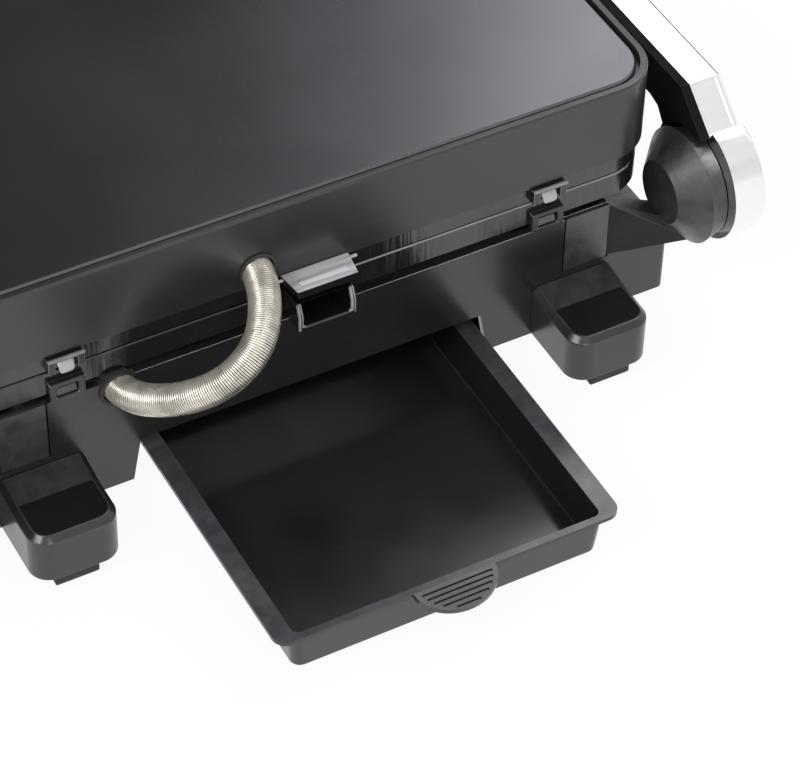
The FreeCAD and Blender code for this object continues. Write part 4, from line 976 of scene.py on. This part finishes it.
def one_screw():
    """A pan head screw with a cross recess, head down at the origin and shank along +Z."""
    bpy.ops.object.select_all(action="DESELECT")
    bpy.ops.mesh.primitive_cylinder_add(vertices=28, radius=SCREW_RADIUS, depth=SCREW_HEAD,
                                        location=(0.0, 0.0, -SCREW_HEAD / 2.0))
    screw = bpy.context.active_object
    bpy.ops.object.transform_apply(location=True, rotation=True, scale=True)
    for face in screw.data.polygons:
        face.select = face.normal.z < -0.9
    with editing():
        bpy.ops.mesh.select_mode(type="FACE")
        bpy.ops.mesh.bevel(offset=SCREW_EDGE, segments=3, affect="EDGES")
        bpy.ops.mesh.select_all(action="DESELECT")
    for face in screw.data.polygons:
        face.select = face.normal.z > 0.9
    with editing():
        bpy.ops.mesh.inset(thickness=SHANK_STEP)
        bpy.ops.mesh.extrude_region_move(TRANSFORM_OT_translate={"value": (0.0, 0.0, SHANK_LENGTH)})
    for turn in (0.0, QUARTER_TURN):
        bpy.ops.object.select_all(action="DESELECT")
        bpy.ops.mesh.primitive_cube_add(size=1.0, location=(0.0, 0.0, -SCREW_HEAD), rotation=(0.0, 0.0, turn))
        cutter = bpy.context.active_object
        cutter.scale = RECESS_SIZE
        only(screw)
        modified(screw, "Recess", "BOOLEAN", operation="DIFFERENCE", solver="EXACT", object=cutter)
        bpy.data.objects.remove(cutter)
    only(screw)
    smoothed(30.0)
    return screw


class GRILL_OT_fasteners(bpy.types.Operator):
    """Models the cross-recessed screws of the bottom cover and of the arm liners"""
    bl_idname = "grill.fasteners"
    bl_label = "Screws"

    def execute(self, context):
        screw = one_screw()
        low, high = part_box("cover_screws")
        places = [(Vector((x, y, low.z + SCREW_HEAD)), Matrix.Identity(3))
                  for x in (low.x + SCREW_RADIUS, high.x - SCREW_RADIUS)
                  for y in (low.y + SCREW_RADIUS, high.y - SCREW_RADIUS)]
        dressed(placed_copies(screw, places, "bottom_screws"), "base", ["cover_screws"], "steel", "steel")
        low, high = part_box("arm_screws")
        places = [(Vector((side * (high.x - LINER_SCREW_REACH), y, (low.z + high.z) / 2.0)),
                   Matrix.Rotation(QUARTER_TURN * side, 3, "Y"))
                  for side in (-1.0, 1.0) for y in (low.y + SCREW_RADIUS, high.y - SCREW_RADIUS)]
        dressed(placed_copies(screw, places, "liner_screws"), "arms", ["arm_screws"], "steel", "steel")
        bpy.data.objects.remove(screw)
        return {"FINISHED"}


# The lead

def lead_line(step):
    """Points along the lead's smooth line, step apart, from the base's hole to the lid's."""
    curve = bpy.data.curves.new("lead_route", "CURVE")
    curve.dimensions = "3D"
    curve.resolution_u = 48
    spline = curve.splines.new("NURBS")
    spline.points.add(len(LEAD_ROUTE) - 1)
    for point, place in zip(spline.points, LEAD_ROUTE):
        point.co = (*place, 1.0)
    spline.order_u = 3
    spline.use_endpoint_u = True
    holder = bpy.data.objects.new("lead_route", curve)
    mesh = bpy.data.meshes.new_from_object(holder)
    line = [vertex.co.copy() for vertex in mesh.vertices]
    bpy.data.meshes.remove(mesh)
    bpy.data.objects.remove(holder)
    bpy.data.curves.remove(curve)
    spaced = [line[0]]
    left = step
    for a, b in zip(line, line[1:]):
        length = (b - a).length
        at = 0.0
        while length - at >= left:
            at += left
            spaced.append(a.lerp(b, at / length))
            left = step
        left -= length - at
    return spaced


def frames_along(line):
    """At each point of the line, its direction and two more directions that don't twist about it."""
    found = []
    side = Vector((1.0, 0.0, 0.0))
    for index, point in enumerate(line):
        ahead = line[min(index + 1, len(line) - 1)] - line[max(index - 1, 0)]
        ahead.normalize()
        side = (side - ahead * side.dot(ahead)).normalized()
        found.append((point, ahead, side, ahead.cross(side)))
    return found


def ring(centre, side, other, radius, sides):
    """Points of a circle about the centre, in the plane of two directions."""
    angles = [math.tau * corner / sides for corner in range(sides)]
    return [centre + (side * math.cos(angle) + other * math.sin(angle)) * radius for angle in angles]


def tube_faces(begin, rings, sides):
    """The faces between rings of points that follow each other, without the two ends."""
    return [(start - sides + corner, start - sides + (corner + 1) % sides, start + (corner + 1) % sides,
             start + corner)
            for start in range(begin + sides, begin + rings * sides, sides) for corner in range(sides)]


def wound_piece(name, frames, first, last, wire, radius):
    """The stretch of wound wire from one index of the line to another, over a dark sleeve."""
    vertices = []
    middle = radius - wire / 2.0
    for index in range(first, last + 1):
        point, ahead, side, other = frames[index]
        turn = math.tau * index / WIRE_STEPS
        outward = side * math.cos(turn) + other * math.sin(turn)
        vertices += ring(point + outward * middle, outward, ahead, wire / 2.0, WIRE_SIDES)
    begin = len(vertices)
    faces = tube_faces(0, last + 1 - first, WIRE_SIDES)
    faces += [tuple(range(WIRE_SIDES)), tuple(range(begin - 1, begin - WIRE_SIDES - 1, -1))]
    slots = [0] * len(faces)
    steps = list(range(first, last, WIRE_STEPS // 2)) + [last]
    for index in steps:
        point, ahead, side, other = frames[index]
        vertices += ring(point, side, other, middle - wire * SLEEVE_SHARE, SLEEVE_SIDES)
    end = len(vertices)
    faces += tube_faces(begin, len(steps), SLEEVE_SIDES)
    faces += [tuple(range(begin + SLEEVE_SIDES - 1, begin - 1, -1)), tuple(range(end - SLEEVE_SIDES, end))]
    slots += [1] * (len(faces) - len(slots))
    mesh = bpy.data.meshes.new(name)
    mesh.from_pydata(vertices, [], faces)
    mesh.polygons.foreach_set("material_index", slots)
    mesh.update()
    piece = bpy.data.objects.new(name, mesh)
    bpy.context.scene.collection.objects.link(piece)
    mesh.materials.append(finish("wire"))
    mesh.materials.append(finish("rubber"))
    only(piece)
    with editing():
        bpy.ops.mesh.select_all(action="SELECT")
        bpy.ops.mesh.normals_make_consistent(inside=False)
    smoothed(60.0)
    return piece


class GRILL_OT_lead(bpy.types.Operator):
    """Winds the steel sheath of the lead between the base and the lid"""
    bl_idname = "grill.lead"
    bl_label = "Lead"

    def execute(self, context):
        size = settings().lead
        step = size.pitch / WIRE_STEPS
        line = lead_line(step)
        frames = frames_along(line)
        split = int(size.base_share / step)
        end = len(line) - 1
        radius = size.outer_diameter / 2.0
        lower = wound_piece("lead_from_base", frames, 0, split, size.wire_diameter, radius)
        upper = wound_piece("lead_to_lid", frames, split, end, size.wire_diameter, radius)
        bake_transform(lower)
        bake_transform(upper)
        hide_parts("power_lead")
        return {"FINISHED"}


# The studio

def studio_floor():
    """A pale floor that the camera and the reflections see as white, and that keeps the grill's shadow."""
    bpy.ops.object.select_all(action="DESELECT")
    bpy.ops.mesh.primitive_plane_add(size=12.0, location=(0.0, 0.0, -0.2 * MM))
    floor = bpy.context.active_object
    floor.name = "studio_floor"
    material = bpy.data.materials.new("studio floor")
    material.use_nodes = True
    tree = material.node_tree
    tree.nodes.clear()
    path = added(tree, "LightPath")
    seen = added(tree, "Math")
    seen.operation = "MAXIMUM"
    share = added(tree, "Math", {1: 0.94})
    share.operation = "MULTIPLY"
    diffuse = added(tree, "BsdfDiffuse", {"Color": (0.90, 0.90, 0.90, 1.0)})
    glow = added(tree, "Emission", {"Color": (1.0, 1.0, 1.0, 1.0), "Strength": 1.0})
    mix = added(tree, "MixShader")
    linked(tree, (path, "Is Camera Ray", seen, 0), (path, "Is Glossy Ray", seen, 1),
           (seen, "Value", share, 0), (share, "Value", mix, "Fac"), (diffuse, "BSDF", mix, 1),
           (glow, "Emission", mix, 2), (mix, "Shader", added(tree, "OutputMaterial"), "Surface"))
    floor.data.materials.append(material)


def studio_world(surround):
    """White to the camera; around the grill dark in front, pale behind and cloudy all over."""
    world = bpy.data.worlds.new("studio")
    bpy.context.scene.world = world
    world.use_nodes = True
    tree = world.node_tree
    tree.nodes.clear()
    place = added(tree, "TexCoord")
    split = added(tree, "SeparateXYZ")
    spread = added(tree, "MapRange", {"From Min": -1.0, "From Max": 1.0})
    ramp = added(tree, "ValToRGB")
    ramp.color_ramp.interpolation = "EASE"
    dark, pale = ramp.color_ramp.elements
    dark.position = 0.18
    dark.color = (0.10, 0.10, 0.105, 1.0)
    pale.position = 0.56
    pale.color = (1.0, 1.0, 1.0, 1.0)
    clouds = added(tree, "TexNoise", {"Scale": 2.6, "Detail": 1.5})
    patches = added(tree, "MapRange", {"From Min": 0.38, "From Max": 0.62, "To Min": 0.76, "To Max": 1.06})
    blend = added(tree, "Mix")
    blend.data_type = "RGBA"
    blend.blend_type = "MULTIPLY"
    blend.inputs["Factor"].default_value = 1.0
    around = added(tree, "Background", {"Strength": surround})
    seen = added(tree, "Background", {"Strength": 1.0})
    mix = added(tree, "MixShader")
    linked(tree, (place, "Generated", split, "Vector"), (split, "Y", spread, "Value"),
           (spread, "Result", ramp, "Fac"), (ramp, "Color", blend, "A"),
           (place, "Generated", clouds, "Vector"), (clouds, "Fac", patches, "Value"),
           (patches, "Result", blend, "B"), (blend, "Result", around, "Color"),
           (added(tree, "LightPath"), "Is Camera Ray", mix, "Fac"), (around, "Background", mix, 1),
           (seen, "Background", mix, 2), (mix, "Shader", added(tree, "OutputWorld"), "Surface"))


def soft_light(name, place, target, width, depth, power):
    """A soft rectangular light that looks at its target."""
    light = bpy.data.lights.new(name, "AREA")
    light.shape = "RECTANGLE"
    light.size = width
    light.size_y = depth
    light.energy = power
    holder = bpy.data.objects.new(name, light)
    bpy.context.scene.collection.objects.link(holder)
    holder.location = place
    holder.rotation_euler = (Vector(target) - Vector(place)).to_track_quat("-Z", "Y").to_euler()
    return holder


def studio_camera(stage):
    """The camera at the photograph's angle."""
    camera = bpy.data.cameras.new("view")
    camera.sensor_width = 36.0
    camera.lens = stage.lens
    camera.clip_start = 0.01
    camera.clip_end = 50.0
    holder = bpy.data.objects.new("view", camera)
    bpy.context.scene.collection.objects.link(holder)
    back = Vector((math.sin(stage.azimuth) * math.cos(stage.elevation),
                   -math.cos(stage.azimuth) * math.cos(stage.elevation), math.sin(stage.elevation)))
    right = (-back).cross(Vector((0.0, 0.0, 1.0))).normalized()
    up = back.cross(right)
    turned = right * math.cos(stage.roll) + up * math.sin(stage.roll)
    upright = up * math.cos(stage.roll) - right * math.sin(stage.roll)
    axes = Matrix((turned, upright, back)).transposed()
    holder.matrix_world = Matrix.Translation(Vector(stage.camera_place)) @ axes.to_4x4()
    bpy.context.scene.camera = holder


class GRILL_OT_stage(bpy.types.Operator):
    """Sets the pale floor, the soft lights and the camera"""
    bl_idname = "grill.stage"
    bl_label = "Stage"

    def execute(self, context):
        stage = settings().stage
        power = stage.overhead
        studio_floor()
        studio_world(stage.surround)
        overhead = soft_light("overhead", (-1.71, -0.763, 1.6), (-1.71, -0.763, 0.0), 1.9, 2.0, power)
        overhead.rotation_euler = (0.0, 0.0, math.radians(-29.2))
        soft_light("side", (1.25, 0.40, 1.20), (-0.16, 0.1, 0.06), 0.9, 0.7, power * 0.40)
        soft_light("behind", (0.5, 1.7, 1.1), (0.0, 0.05, 0.05), 0.5, 0.3, power * 0.12)
        studio_camera(stage)
        context.scene.view_settings.view_transform = "Standard"
        return {"FINISHED"}


OPERATORS = (
    GRILL_OT_stage, GRILL_OT_lid, GRILL_OT_plates, GRILL_OT_clips, GRILL_OT_base, GRILL_OT_arms,
    GRILL_OT_controls, GRILL_OT_tray, GRILL_OT_inner, GRILL_OT_fasteners, GRILL_OT_lead,
)


class GRILL_PT_panel(bpy.types.Panel):
    """Lists the pieces of the grill and what can be set"""
    bl_idname = "GRILL_PT_panel"
    bl_label = "Contact grill"
    bl_space_type = "VIEW_3D"
    bl_region_type = "UI"
    bl_category = "Grill"

    def draw(self, context):
        for operator in OPERATORS:
            self.layout.operator(operator.bl_idname)
        for part in ("finish", "edge", "lead", "stage"):
            group = getattr(context.scene.grill, part)
            box = self.layout.box()
            box.label(text=part.capitalize())
            for name in group.__annotations__:
                box.prop(group, name)


GROUPS = (FinishSettings, EdgeSettings, LeadSettings, StageSettings, GrillSettings)
CLASSES = GROUPS + OPERATORS + (GRILL_PT_panel,)


def register():
    for kind in CLASSES:
        bpy.utils.register_class(kind)
    bpy.types.Scene.grill = bpy.props.PointerProperty(type=GrillSettings)


def unregister():
    del bpy.types.Scene.grill
    for kind in reversed(CLASSES):
        bpy.utils.unregister_class(kind)


def main():
    register()
    for operator in OPERATORS:
        group, name = operator.bl_idname.split(".")
        getattr(getattr(bpy.ops, group), name)()


if __name__ == "__main__":
    main()
